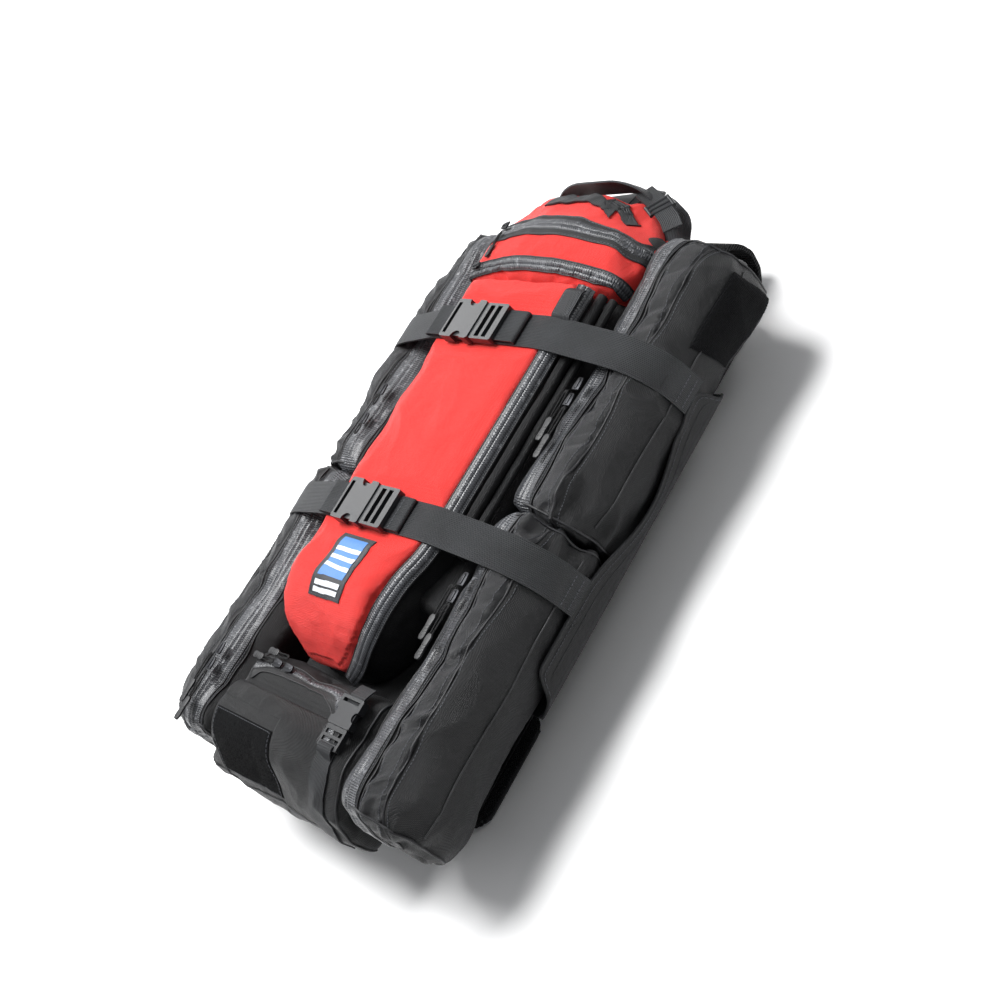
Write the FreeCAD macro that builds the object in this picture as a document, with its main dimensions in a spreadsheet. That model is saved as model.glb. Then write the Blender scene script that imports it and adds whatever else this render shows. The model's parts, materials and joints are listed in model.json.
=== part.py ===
import FreeCAD, Part
import math
import os
import re

import Sketcher

# A panel-loading medic's backpack lying on its harness side.
# +X is to the pack's right as its front is seen, +Y runs towards the top end, +Z is the
# front's outward normal. Z = 0 is the flat rest face of the back pad. Sizes in millimetres.

SIZES = {
    # bag body, an upside-down T in section
    "bag_low_y": -330, "bag_high_y": 302, "bag_back_z": 15, "bag_step_z": 57, "bag_front_z": 150,
    "bag_back_half_width": 150, "bag_step_half_width": 160, "bag_stem_half_width": 111,
    "bag_low_front_z": 100, "bag_low_front_y": -150,
    # side pods
    "pod_inner_x": 114, "pod_outer_x": 209, "pod_back_z": 58, "pod_front_z": 168,
    "pod_edge_x": 155, "pod_seam_x": 178, "pod_seam_z": 160, "pod_side_x": 202, "pod_side_z": 136,
    "pod_upper_low_y": -30, "pod_upper_high_y": 290,
    "pod_lower_low_y": -345, "pod_lower_high_y": -37, "left_shift": 10,
    # spine pouch and its front panel
    "spine_left_x": -89, "spine_right_x": 79, "spine_front_z": 187, "spine_ledge_z": 176,
    "spine_ledge_width": 15, "spine_top_y": 205, "spine_bend_y": -88, "spine_nose_y": -231,
    "spine_nose_z": 128, "panel_thickness": 2.4,
    # lid pocket, crowned about an axis that runs along Y
    "lid_left_x": -121, "lid_right_x": 112, "lid_low_y": 208, "lid_high_y": 337,
    "lid_crown_z": 195, "lid_crown_radius": 325, "lid_wrap_z": 112, "lid_corner": 40,
    "lid_zip_y": 271, "lid_zip_width": 32, "throat_zip_y": 219, "throat_zip_width": 15,
    # bottom pouch
    "pouch_left_x": -108, "pouch_right_x": 102, "pouch_low_y": -368, "pouch_high_y": -233,
    "pouch_front_z": 150, "pouch_back_z": 58, "pouch_zip_y": -250, "pouch_zip_right_x": 53,
    # back panel, frame and harness
    "pad_half_width": 50, "pad_thickness": 9.5, "pad_low_y": -300, "pad_high_y": 284,
    "sheet_thickness": 1.6, "sheet_half_width": 135, "stay_width": 25, "stay_thickness": 3,
    "stay_x": 70, "harness_lift": 0.6, "strap_pad_thickness": 8.4, "strap_pad_inner_x": 53,
    "strap_pad_outer_x": 109, "yoke_y": 334, "strap_pad_low_y": -150,
    "belt_low_y": -298, "belt_high_y": -170, "belt_tip_x": 148,
    # compression webbing and buckles
    "webbing_wide": 38, "webbing_narrow": 25, "webbing_thickness": 1.8, "upper_strap_y": 141,
    "lower_strap_y": -80, "upper_buckle_x": -17, "lower_buckle_x": -11, "buckle_z": 192.2,
    "pouch_buckle_x": 72, "pouch_buckle_y": -281, "wing_low_y": -185, "wing_high_y": 175,
    "wing_thickness": 1.8, "fold_length": 36, "fold_thickness": 3.4,
    # zips, sliders and pulls
    "tape_thickness": 0.8, "tape_half_width": 15, "coil_half_width": 3, "coil_z": 1.6,
    "slider_length": 14, "slider_left": -4, "slider_right": 5, "slider_thickness": 3,
    "pull_length": 58, "pull_width": 8.4, "pull_thickness": 2.2, "pull_gap": 1.8,
    "bottom_pull_length": 36, "lid_pull_length": 34, "ring_length": 16,
    "inner_lane": -13, "outer_lane": -3.4, "zip_x": 137, "running_gap": 0.4,
    # trim
    "patch_width": 52, "patch_length": 64, "patch_x": -3, "patch_y": -143,
    "tab_low_y": 160, "tab_high_y": 194, "field_thickness": 1.5,
}

doc = FreeCAD.newDocument("medic_backpack")
sheet = doc.addObject("Spreadsheet::Sheet", "Sizes")
for row, (alias, value) in enumerate(SIZES.items(), start=1):
    sheet.set(f"A{row}", alias)
    sheet.set(f"B{row}", str(value))
    sheet.setAlias(f"B{row}", alias)
doc.recompute()

NODES = []


def size(alias):
    """A driving size, read back from the sheet."""
    return float(sheet.get(alias))


def bind(text):
    """The sheet expression for a formula written with plain aliases."""
    return re.sub(r"[a-z]\w*", lambda word: "Sizes." + word.group(0), str(text))


def node(part, label):
    """Mark a finished object as one sub-part."""
    part.Label = label
    NODES.append(part)
    return part


def flat_sketch(body, role, level):
    """An empty sketch on one of the body's origin planes, lifted to a level."""
    sketch = body.newObject("Sketcher::SketchObject", "outline")
    plane = [item for item in body.Origin.OriginFeatures if item.Role == role][0]
    sketch.AttachmentSupport = [(plane, "")]
    sketch.MapMode = "FlatFace"
    sign = "-" if role == "XZ_Plane" else ""
    sketch.setExpression("AttachmentOffset.Base.z", f"{sign}({bind(level)})")
    return sketch


def draw_loop(sketch, corners):
    """Add one closed outline whose corners are pairs of formulas."""
    first = sketch.GeometryCount
    count = len(corners)
    turn = 2 * math.pi / count
    spots = [
        FreeCAD.Vector(first + 9 * math.cos(turn * i), 9 * math.sin(turn * i), 0) for i in range(count)
    ]
    for i in range(count):
        sketch.addGeometry(Part.LineSegment(spots[i], spots[(i + 1) % count]))
    for i in range(count):
        after = first + (i + 1) % count
        sketch.addConstraint(Sketcher.Constraint("Coincident", first + i, 2, after, 1))
    for i, (across, up) in enumerate(corners):
        for kind, value, formula in (("DistanceX", spots[i].x, across), ("DistanceY", spots[i].y, up)):
            index = sketch.addConstraint(Sketcher.Constraint(kind, -1, 1, first + i, 1, value))
            sketch.setExpression(f"Constraints[{index}]", bind(formula))


def draw_circle(sketch, across, up, radius):
    """Add one circle whose centre and radius are formulas."""
    circle = Part.Circle(FreeCAD.Vector(1, 1, 0), FreeCAD.Vector(0, 0, 1), 5)
    index = sketch.addGeometry(circle)
    for kind, formula in (("DistanceX", across), ("DistanceY", up)):
        limit = sketch.addConstraint(Sketcher.Constraint(kind, -1, 1, index, 3, 1.0))
        sketch.setExpression(f"Constraints[{limit}]", bind(formula))
    limit = sketch.addConstraint(Sketcher.Constraint("Radius", index, 5.0))
    sketch.setExpression(f"Constraints[{limit}]", bind(radius))


def add_pad(body, role, loops, low, high):
    """Pad closed outlines between two levels along the plane's normal."""
    sketch = flat_sketch(body, role, low)
    for corners in loops:
        draw_loop(sketch, corners)
    pad = body.newObject("PartDesign::Pad", "pad")
    pad.Profile = sketch
    pad.setExpression("Length", f"({bind(high)}) - ({bind(low)})")
    pad.Reversed = role == "XZ_Plane"
    doc.recompute()
    return pad


def add_pocket(body, role, loops, low, high, circles=()):
    """Cut closed outlines and circles out of the body between two levels."""
    sketch = flat_sketch(body, role, high)
    for corners in loops:
        draw_loop(sketch, corners)
    for across, up, radius in circles:
        draw_circle(sketch, across, up, radius)
    before = body.Shape.Volume
    pocket = body.newObject("PartDesign::Pocket", "pocket")
    pocket.Profile = sketch
    pocket.setExpression("Length", f"({bind(high)}) - ({bind(low)})")
    pocket.Reversed = role == "XZ_Plane"
    doc.recompute()
    if body.Shape.Volume > before - 1:
        raise RuntimeError(f"{body.Label}: the pocket cuts nothing")
    return pocket


def runs_along(edge, axis):
    """Whether a straight edge is parallel to an axis."""
    if not isinstance(edge.Curve, Part.Line):
        return False
    return abs(edge.Curve.Direction.dot(axis)) > 0.999


def round_edges(body, radius, choose):
    """Fillet the edges of the body that a test picks."""
    base = body.Tip
    names = [f"Edge{i + 1}" for i, edge in enumerate(base.Shape.Edges) if choose(edge)]
    fillet = body.newObject("PartDesign::Fillet", "fillet")
    fillet.Base = (base, names)
    fillet.setExpression("Radius", bind(radius))
    doc.recompute()
    return fillet


def new_body(name):
    """A PartDesign body."""
    return doc.addObject("PartDesign::Body", name)


def rectangle(left, low, right, high):
    """The corners of an upright rectangle, as formulas."""
    return [(left, low), (right, low), (right, high), (left, high)]


def block(name, left, low, back, right, high, front, corner=None):
    """A padded rectangle in the X-Y plane between two heights, with rounded corners if wanted."""
    body = new_body(name)
    add_pad(body, "XY_Plane", [rectangle(left, low, right, high)], back, front)
    if corner:
        round_edges(body, corner, lambda edge: runs_along(edge, FreeCAD.Vector(0, 0, 1)))
    return body


def on_side(side, formula):
    """A right-hand x formula, mirrored and moved out for the left-hand side."""
    return formula if side == "right" else f"-({formula}) - left_shift"


def band(path, thickness, start, width, along):
    """A strip of webbing: a bent line of (a, b) points made thick to its left and extruded.

    along is the extrusion axis: "x" puts the points in Y-Z, "y" in X-Z and "z" in X-Y.
    """
    left = []
    for i, (a, b) in enumerate(path):
        before = path[max(i - 1, 0)]
        after = path[min(i + 1, len(path) - 1)]
        one = FreeCAD.Vector(a - before[0], b - before[1], 0)
        two = FreeCAD.Vector(after[0] - a, after[1] - b, 0)
        one = one.normalize() if one.Length else two.normalize()
        two = two.normalize() if two.Length else one
        bisector = FreeCAD.Vector(-one.y - two.y, one.x + two.x, 0).normalize()
        reach = thickness / max(bisector.dot(FreeCAD.Vector(-one.y, one.x, 0)), 0.5)
        left.append((a + bisector.x * reach, b + bisector.y * reach))
    loop = list(path) + left[::-1] + [path[0]]
    place = {
        "x": lambda a, b: FreeCAD.Vector(start, a, b),
        "y": lambda a, b: FreeCAD.Vector(a, start, b),
        "z": lambda a, b: FreeCAD.Vector(a, b, start),
    }[along]
    push = {"x": (width, 0, 0), "y": (0, width, 0), "z": (0, 0, width)}[along]
    face = Part.Face(Part.makePolygon([place(a, b) for a, b in loop]))
    return face.extrude(FreeCAD.Vector(*push))


def coded(name, shape):
    """A part whose shape is worked out by code from the sheet's sizes."""
    part = doc.addObject("Part::Feature", name)
    part.Shape = shape
    return part


def group(name, members):
    """Separate solids that share one sub-part."""
    bundle = doc.addObject("Part::Compound", name)
    bundle.Links = members
    return bundle


def make_bag():
    """The main bag: an upside-down T in section, lower in front below the spine pouch."""
    body = new_body("bag")
    half = [
        ("bag_back_half_width", "bag_back_z"),
        ("bag_step_half_width", "bag_step_z"),
        ("bag_stem_half_width", "bag_step_z"),
        ("bag_stem_half_width", "bag_front_z"),
    ]
    section = half + [(f"-{across}", up) for across, up in half[::-1]]
    add_pad(body, "XZ_Plane", [section], "bag_low_y", "bag_high_y")
    step = rectangle("bag_low_y - 1", "bag_low_front_z", "bag_low_front_y", "bag_front_z + 1")
    add_pocket(body, "YZ_Plane", [step], "-bag_stem_half_width - 1", "bag_stem_half_width + 1")
    node(body, "main_bag")


def make_back():
    """Back pad, plastic frame sheet and its two aluminium stays."""
    pad = block("pad", "-pad_half_width", "pad_low_y", "0", "pad_half_width", "pad_high_y",
                "pad_thickness", "14")
    node(pad, "back_pad")
    frame = block("sheet", "-sheet_half_width", "pad_low_y", "pad_thickness + 0.3",
                  "sheet_half_width", "pad_high_y", "pad_thickness + 0.3 + sheet_thickness", "25")
    node(frame, "frame_sheet")
    base = "pad_thickness + 0.3 + sheet_thickness"
    bars = []
    for middle in ("stay_x", "-stay_x"):
        bars.append(block("stay", f"{middle} - stay_width / 2", "pad_low_y + 10", base,
                          f"{middle} + stay_width / 2", "pad_high_y - 10", f"{base} + stay_thickness", "6"))
    node(group("stay_pair", bars), "frame_stays")


def make_harness():
    """Shoulder yoke arches past the top end, folded shoulder straps and folded hip belt wings."""
    lift = size("harness_lift")
    thick = size("strap_pad_thickness")
    start = size("yoke_y")
    end = size("bag_high_y") + 0.8
    crest = [(end, 86), (start, 84), (start + 22, 76), (start + 36, 60), (start + 40, 40),
             (start + 30, 20), (start + 12, lift + thick), (start, lift + thick)]
    inner = size("strap_pad_inner_x")
    width = size("strap_pad_outer_x") - inner
    arches = [coded("yoke", band(crest, thick, left, width, "x")) for left in (inner, -inner - width)]
    node(group("yokes", arches), "shoulder_yoke")
    top = "harness_lift + strap_pad_thickness"
    for side, sign in (("right", ""), ("left", "-")):
        strap = block(f"{side}_strap", f"{sign}(strap_pad_inner_x)", "strap_pad_low_y", "harness_lift",
                      f"{sign}(strap_pad_outer_x)", "yoke_y - 0.5", top, "12")
        node(strap, f"shoulder_strap_{side}")
        wing = block(f"{side}_belt", f"{sign}(strap_pad_inner_x)", "belt_low_y", "harness_lift",
                     f"{sign}(belt_tip_x)", "belt_high_y", top, "20")
        node(wing, f"hip_belt_{side}")


def make_pod(side, level):
    """One side pod: a stuffed pocket with a sloped shoulder."""
    inner = on_side(side, "pod_inner_x")
    corners = [
        (inner, "pod_back_z"),
        (inner, "pod_front_z - 9"),
        (on_side(side, "pod_inner_x + 8"), "pod_front_z"),
        (on_side(side, "pod_edge_x"), "pod_front_z"),
        (on_side(side, "pod_seam_x"), "pod_seam_z"),
        (on_side(side, "pod_side_x"), "pod_side_z"),
        (on_side(side, "pod_outer_x"), "pod_side_z - 32"),
        (on_side(side, "pod_outer_x"), "pod_back_z + 18"),
        (on_side(side, "pod_outer_x - 12"), "pod_back_z"),
    ]
    body = new_body(f"{level}_{side}_pod")
    add_pad(body, "XZ_Plane", [corners], f"pod_{level}_low_y", f"pod_{level}_high_y")
    node(body, f"{level}_{side}_pod")


def spine_outline(out):
    """The spine pouch's outline in X-Y, moved out by a formula on its right-hand side."""
    return [
        ("spine_left_x", "spine_top_y"),
        ("spine_left_x", "-185"),
        ("spine_left_x + 10", "-214"),
        ("spine_left_x + 32", "spine_nose_y"),
        (f"2 + {out}", "spine_nose_y"),
        (f"30 + {out}", "-217"),
        (f"44 + {out}", "-194"),
        (f"53 + {out}", "-165"),
        (f"62 + {out}", "-136"),
        (f"spine_right_x - 4 + {out}", "-108"),
        (f"spine_right_x + {out}", "spine_bend_y"),
        (f"spine_right_x + {out}", "spine_top_y"),
    ]


def nose_profile(lift):
    """The front of the spine pouch seen from the side, dropping at its lower end, with lift added."""
    return [
        ("spine_top_y", f"spine_front_z + {lift}"),
        ("-165", f"spine_front_z + {lift}"),
        ("-192", f"spine_front_z - 9 + {lift}"),
        ("-212", f"spine_front_z - 25 + {lift}"),
        ("spine_nose_y - 4", f"spine_nose_z + {lift}"),
    ]


def make_spine():
    """The spine pouch, with a ledge for its zip on the right, and its red front panel."""
    pouch = new_body("spine")
    floor = "bag_low_front_z + 0.3"
    add_pad(pouch, "XY_Plane", [spine_outline("spine_ledge_width")], floor, "spine_ledge_z")
    add_pad(pouch, "XY_Plane", [spine_outline("0")], "spine_ledge_z - 1", "spine_front_z")
    under = rectangle("bag_low_front_y - 0.3", floor + " - 1", "spine_top_y + 1", "bag_front_z + 0.3")
    add_pocket(pouch, "YZ_Plane", [under], "-140", "140")
    over = nose_profile("0")[1:] + [("spine_nose_y - 9", "spine_nose_z"),
                                   ("spine_nose_y - 9", "spine_front_z + 9"),
                                   ("-165", "spine_front_z + 9")]
    add_pocket(pouch, "YZ_Plane", [over], "-140", "140")
    node(pouch, "spine_pouch")
    panel = new_body("panel")
    skin = nose_profile("panel_thickness + 0.1") + nose_profile("0.1")[::-1]
    add_pad(panel, "YZ_Plane", [skin], "spine_left_x - 1", "spine_right_x + 1")
    trim = new_body("panel_trim")
    add_pad(trim, "XY_Plane", [spine_outline("0")], "spine_nose_z - 9", "spine_front_z + 9")
    cut = doc.addObject("Part::Common", "panel_cut")
    cut.Base = panel
    cut.Tool = trim
    node(cut, "spine_front_panel")
    tape = new_body("spine_tape")
    edge = [point for point in spine_outline("0.4")[7:]]
    rim = [point for point in spine_outline("spine_ledge_width - 1")[7:]]
    add_pad(tape, "XY_Plane", [edge + rim[::-1]], "spine_ledge_z + 0.2", "spine_front_z - 4")
    node(tape, "spine_zipper")
    patch = block("patch", "patch_x - patch_width / 2", "patch_y - patch_length / 2 + 28",
                  "spine_front_z + panel_thickness + 0.2", "patch_x + patch_width / 2",
                  "patch_y + patch_length / 2", "spine_front_z + panel_thickness + 1", None)
    node(patch, "label_patch")


def crown_point(angle, radius):
    """A point on a circle about the lid's crown axis; the angle is in degrees from the front."""
    middle = (size("lid_left_x") + size("lid_right_x")) / 2
    base = size("lid_crown_z") - size("lid_crown_radius")
    turn = math.radians(angle)
    return middle + radius * math.sin(turn), base + radius * math.cos(turn)


def crown_strip(low_y, high_y, inside, outside, angle):
    """A thin strip bent over the crowned lid between two radii and two angles each side."""
    middle, base = crown_point(0, 0)
    corners = [(low_y, inside), (high_y, inside), (high_y, outside), (low_y, outside), (low_y, inside)]
    points = [FreeCAD.Vector(middle, y, base + radius) for y, radius in corners]
    face = Part.Face(Part.makePolygon(points))
    centre = FreeCAD.Vector(middle, 0, base)
    face.rotate(centre, FreeCAD.Vector(0, 1, 0), -angle)
    return face.revolve(centre, FreeCAD.Vector(0, 1, 0), 2 * angle)


def make_lid():
    """The crowned lid pocket, which wraps over the top end, and its two zips."""
    body = new_body("lid")
    sides = rectangle("lid_left_x", "lid_low_y", "lid_right_x", "lid_high_y")
    add_pad(body, "XY_Plane", [sides], "lid_wrap_z", "lid_crown_z + 1")
    round_edges(body, "lid_corner", lambda edge: runs_along(edge, FreeCAD.Vector(0, 0, 1))
                and edge.CenterOfMass.y > size("lid_low_y") + 1)
    under = rectangle("lid_low_y - 1", "lid_wrap_z - 1", "bag_high_y + 0.3", "bag_front_z + 0.3")
    add_pocket(body, "YZ_Plane", [under], "-140", "140")
    middle, base = crown_point(0, 0)
    crown = doc.addObject("Part::Cylinder", "crown")
    crown.setExpression("Radius", bind("lid_crown_radius"))
    crown.setExpression("Height", bind("lid_high_y - lid_low_y + 2"))
    turn = FreeCAD.Rotation(FreeCAD.Vector(1, 0, 0), -90)
    crown.Placement = FreeCAD.Placement(FreeCAD.Vector(middle, size("lid_low_y") - 1, base), turn)
    lid = doc.addObject("Part::Common", "lid_crowned")
    lid.Base = body
    lid.Tool = crown
    node(lid, "lid_pocket")
    radius = size("lid_crown_radius") + 0.2
    tape = size("tape_thickness")
    coil = size("coil_half_width")
    zips = []
    for place, width in (("lid_zip_y", "lid_zip_width"), ("throat_zip_y", "throat_zip_width")):
        y = size(place)
        half = size(width) / 2
        strip = crown_strip(y - half, y + half, radius, radius + tape, 18.5)
        teeth = crown_strip(y - coil, y + coil, radius + tape, radius + tape + size("coil_z"), 18.5)
        zips.append(coded("crown_zip", strip.fuse(teeth).removeSplitter()))
    node(group("crown_zips", zips), "lid_zippers")


def make_bottom_pouch():
    """The pouch over the bottom end, its zip, its hook-and-loop field and its strap."""
    body = new_body("pouch")
    side = [
        ("pouch_high_y", "bag_low_front_z + 0.3"),
        ("bag_low_y - 0.3", "bag_low_front_z + 0.3"),
        ("bag_low_y - 0.3", "pouch_back_z"),
        ("pouch_low_y + 6", "pouch_back_z"),
        ("pouch_low_y", "pouch_front_z - 60"),
        ("pouch_low_y + 4", "pouch_front_z - 30"),
        ("pouch_low_y + 22", "pouch_front_z - 10"),
        ("pouch_low_y + 55", "pouch_front_z"),
        ("pouch_zip_y + 8", "pouch_front_z"),
        ("pouch_high_y", "pouch_front_z - 12"),
    ]
    add_pad(body, "YZ_Plane", [side], "pouch_left_x", "pouch_right_x")
    node(body, "bottom_pouch")
    tape = new_body("pouch_tape")
    front = "pouch_front_z + 0.2"
    add_pad(tape, "YZ_Plane", [[
        ("pouch_zip_y - 7", front),
        ("pouch_zip_y + 7", front),
        ("pouch_zip_y + 7", f"{front} + tape_thickness"),
        ("pouch_zip_y + coil_half_width", f"{front} + tape_thickness"),
        ("pouch_zip_y + coil_half_width", f"{front} + tape_thickness + coil_z"),
        ("pouch_zip_y - coil_half_width", f"{front} + tape_thickness + coil_z"),
        ("pouch_zip_y - coil_half_width", f"{front} + tape_thickness"),
        ("pouch_zip_y - 7", f"{front} + tape_thickness"),
    ]], "pouch_left_x + 6", "pouch_zip_right_x")
    node(tape, "bottom_pouch_zipper")
    gap = 0.3
    low = size("pouch_low_y")
    top = size("pouch_front_z")
    edge = [(low + 55, top + gap), (low + 22 - gap, top - 10 + gap), (low + 4 - gap, top - 30)]
    field = band(edge[::-1], size("field_thickness"), size("pouch_left_x") + 5, 106, "x")
    node(coded("field", field), "loop_field")
    wide = size("webbing_narrow")
    high = size("pouch_buckle_y") + 32
    route = [(high + 8, top + gap), (low + 55, top + gap), (low + 22 - gap, top - 10 + gap),
             (low + 4 - gap, top - 30), (low - gap, top - 60), (low + 2, top - 74)]
    web = band(route[::-1], 1.4, size("pouch_buckle_x") - wide / 2 + 1.5, wide - 3, "x")
    node(coded("pouch_web", web), "pouch_strap")


def strap_route():
    """The underside of a compression strap from one wing's edge over the pack to the other's."""
    top = size("spine_front_z") + size("panel_thickness") + 0.4
    right = [
        (size("pod_outer_x") + 1.2, size("pod_side_z") - 32.4),
        (size("pod_side_x") + 1.2, size("pod_side_z") + 1.2),
        (size("pod_seam_x") + 0.8, size("pod_seam_z") + 2),
        (size("pod_edge_x") + 1, size("pod_front_z") + 2.6),
        (size("spine_right_x") + 0.5, top),
    ]
    shift = size("left_shift")
    left = [(-a - shift, b) for a, b in right]
    left[-1] = (size("spine_left_x") - 0.5, top)
    return right + left[::-1]


def make_straps():
    """Two compression straps with their folded ends, and the wings that they are sewn to."""
    wide = size("webbing_wide")
    thick = size("webbing_thickness")
    top = size("buckle_z") + 0.2
    fold = size("fold_length")
    webs = {}
    for label in ("upper", "lower"):
        shape = band(strap_route()[::-1], thick, size(f"{label}_strap_y") - wide / 2, wide, "y")
        webs[label] = coded(f"{label}_web", shape)
    node(webs["upper"], "upper_compression_strap")
    corner = FreeCAD.Vector(size("lower_buckle_x") - 1.2 * wide - fold - 1, size("lower_strap_y") - wide / 2, top)
    loop = coded("lower_fold", Part.makeBox(fold, wide, size("fold_thickness"), corner))
    node(group("lower_webs", [webs["lower"], loop]), "lower_compression_strap")
    corner = FreeCAD.Vector(size("upper_buckle_x") + 0.9 * wide + 1, size("upper_strap_y") - wide / 2, top)
    tail = Part.makeBox(fold - 8, wide, size("fold_thickness"), corner)
    node(coded("tail", tail), "upper_strap_tail")
    gap = 0.4
    outer = size("pod_outer_x") + gap
    back = size("pod_back_z") - gap
    path = [(size("bag_step_half_width") + 3, back - 2), (outer - 12, back), (outer, back + 18),
            (outer, size("pod_side_z") - 33)]
    low = size("wing_low_y")
    right = band(path[::-1], size("wing_thickness"), low, size("wing_high_y") - low, "y")
    left = right.mirror(FreeCAD.Vector(0, 0, 0), FreeCAD.Vector(1, 0, 0))
    left.translate(FreeCAD.Vector(-size("left_shift"), 0, 0))
    wings = [coded("wing", right), coded("wing", left)]
    node(group("wings", wings), "compression_wings")


def make_socket(prefix, wide):
    """Side-release buckle socket: open towards +X, with side notches and a slot for its webbing."""
    half = f"{wide} / 2 + 4.5"
    long = f"1.2 * {wide}"
    thick = f"0.3 * {wide}"
    wall = f"0.055 * {wide}"
    body = new_body(f"{prefix}_socket")
    add_pad(body, "XY_Plane", [rectangle(f"-{long}", f"-({half})", "0", half)], "0", thick)
    round_edges(body, f"0.09 * {wide}", lambda edge: runs_along(edge, FreeCAD.Vector(0, 0, 1)))
    mouth = rectangle(f"-0.85 * {wide}", f"-({half} - 2.4)", "1", f"{half} - 2.4")
    add_pocket(body, "XY_Plane", [mouth], wall, f"{thick} - {wall}")
    slot = rectangle(f"-{long} + 3", f"-{wide} / 2", f"-{long} + 3 + 0.14 * {wide}", f"{wide} / 2")
    reach = f"0.2 * {wide}"
    notches = [(f"-0.5 * {wide}", half, reach), (f"-0.5 * {wide}", f"-({half})", reach)]
    add_pocket(body, "XY_Plane", [slot], "-1", f"{thick} + 1", notches)
    return body


def make_plug(prefix, wide):
    """Side-release buckle plug: two prongs and a guide in the socket, and a ladder for webbing."""
    half = f"{wide} / 2 + 3"
    thick = f"0.3 * {wide}"
    wall = f"0.055 * {wide}"
    inside = f"{wide} / 2 + 4.5 - 2.4 - 0.5"
    body = new_body(f"{prefix}_plug")
    frame = rectangle("0.5", f"-({half})", f"0.9 * {wide}", half)
    add_pad(body, "XY_Plane", [frame], f"0.04 * {wide}", f"{thick} - 0.04 * {wide}")
    round_edges(body, f"0.07 * {wide}", lambda edge: runs_along(edge, FreeCAD.Vector(0, 0, 1)))
    slots = []
    for start in (0.2, 0.5):
        slots.append(rectangle(f"{start} * {wide}", f"-{wide} / 2", f"{start + 0.18} * {wide}", f"{wide} / 2"))
    add_pocket(body, "XY_Plane", slots, "-1", f"{thick} + 1")
    back = f"-0.78 * {wide}"
    prongs = [
        rectangle(back, f"-0.09 * {wide}", "2", f"0.09 * {wide}"),
        rectangle(back, f"0.3 * {wide}", "2", inside),
        rectangle(back, f"-({inside})", "2", f"-0.3 * {wide}"),
    ]
    add_pad(body, "XY_Plane", prongs, f"{wall} + 0.4", f"{thick} - {wall} - 0.4")
    return body


def make_buckles():
    """The four side-release buckles, each a fixed socket and a plug that pulls out of it."""
    end = size("lid_high_y")
    high = FreeCAD.Vector(8, end + 18, 100)
    low = FreeCAD.Vector(31, end - 5, 66)
    middle = high * 0.45 + low * 0.55
    aslant = FreeCAD.Rotation(low - high, FreeCAD.Vector(0, 0, 0), FreeCAD.Vector(0, 0.7, 0.7), "XZY")
    down = FreeCAD.Rotation(FreeCAD.Vector(0, 0, 1), -90)
    flat = FreeCAD.Rotation()
    front = size("pouch_front_z") + 2
    places = [
        ("upper", "webbing_wide", (size("upper_buckle_x"), size("upper_strap_y"), size("buckle_z")), flat),
        ("lower", "webbing_wide", (size("lower_buckle_x"), size("lower_strap_y"), size("buckle_z")), flat),
        ("pouch", "webbing_narrow", (size("pouch_buckle_x"), size("pouch_buckle_y"), front), down),
        ("handle", "webbing_narrow", tuple(middle), aslant),
    ]
    for prefix, wide, place, turn in places:
        for kind, make in (("socket", make_socket), ("plug", make_plug)):
            body = make(prefix, wide)
            body.Placement = FreeCAD.Placement(FreeCAD.Vector(*place), turn)
            node(body, f"{prefix}_buckle_{kind}")


def make_handle():
    """The haul handle's webbing arch; its ends narrow to a crease so that it can swing."""
    end = size("lid_high_y")
    path = [(-86, end + 2), (-74, end + 12), (-48, end + 21), (-12, end + 21), (14, end + 12), (26, end + 2)]
    middle = 136
    half = 16
    arch = band(path, 3.4, middle - half, 2 * half, "z")
    far = 40
    spread = far * math.tan(math.radians(55))
    wedge = [(end + 0.8, middle), (end + far, middle - spread), (end + far, middle + spread)]
    points = [FreeCAD.Vector(-120, y, z) for y, z in wedge + wedge[:1]]
    swing = Part.Face(Part.makePolygon(points)).extrude(FreeCAD.Vector(240, 0, 0))
    node(coded("handle", arch.common(swing)), "haul_handle")
    tab = block("tab", "spine_right_x - 7", "tab_low_y", "spine_front_z + panel_thickness + 0.3",
                "spine_right_x + 16", "tab_high_y", "spine_front_z + panel_thickness + 2", None)
    node(tab, "webbing_tab")


def make_pod_zip(side, level):
    """The straight zip along the front of one pod: tape and coil."""
    base = "pod_front_z + 0.2"
    centre = "zip_x"
    coil = f"{base} + tape_thickness + coil_z"
    corners = [
        (on_side(side, f"{centre} - tape_half_width"), base),
        (on_side(side, f"{centre} + tape_half_width"), base),
        (on_side(side, f"{centre} + tape_half_width"), f"{base} + tape_thickness"),
        (on_side(side, f"{centre} + coil_half_width"), f"{base} + tape_thickness"),
        (on_side(side, f"{centre} + coil_half_width"), coil),
        (on_side(side, f"{centre} - coil_half_width"), coil),
        (on_side(side, f"{centre} - coil_half_width"), f"{base} + tape_thickness"),
        (on_side(side, f"{centre} - tape_half_width"), f"{base} + tape_thickness"),
    ]
    body = new_body(f"{level}_{side}_tape")
    add_pad(body, "XZ_Plane", [corners], f"pod_{level}_low_y + 2", f"pod_{level}_high_y - 2")
    return body


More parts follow.
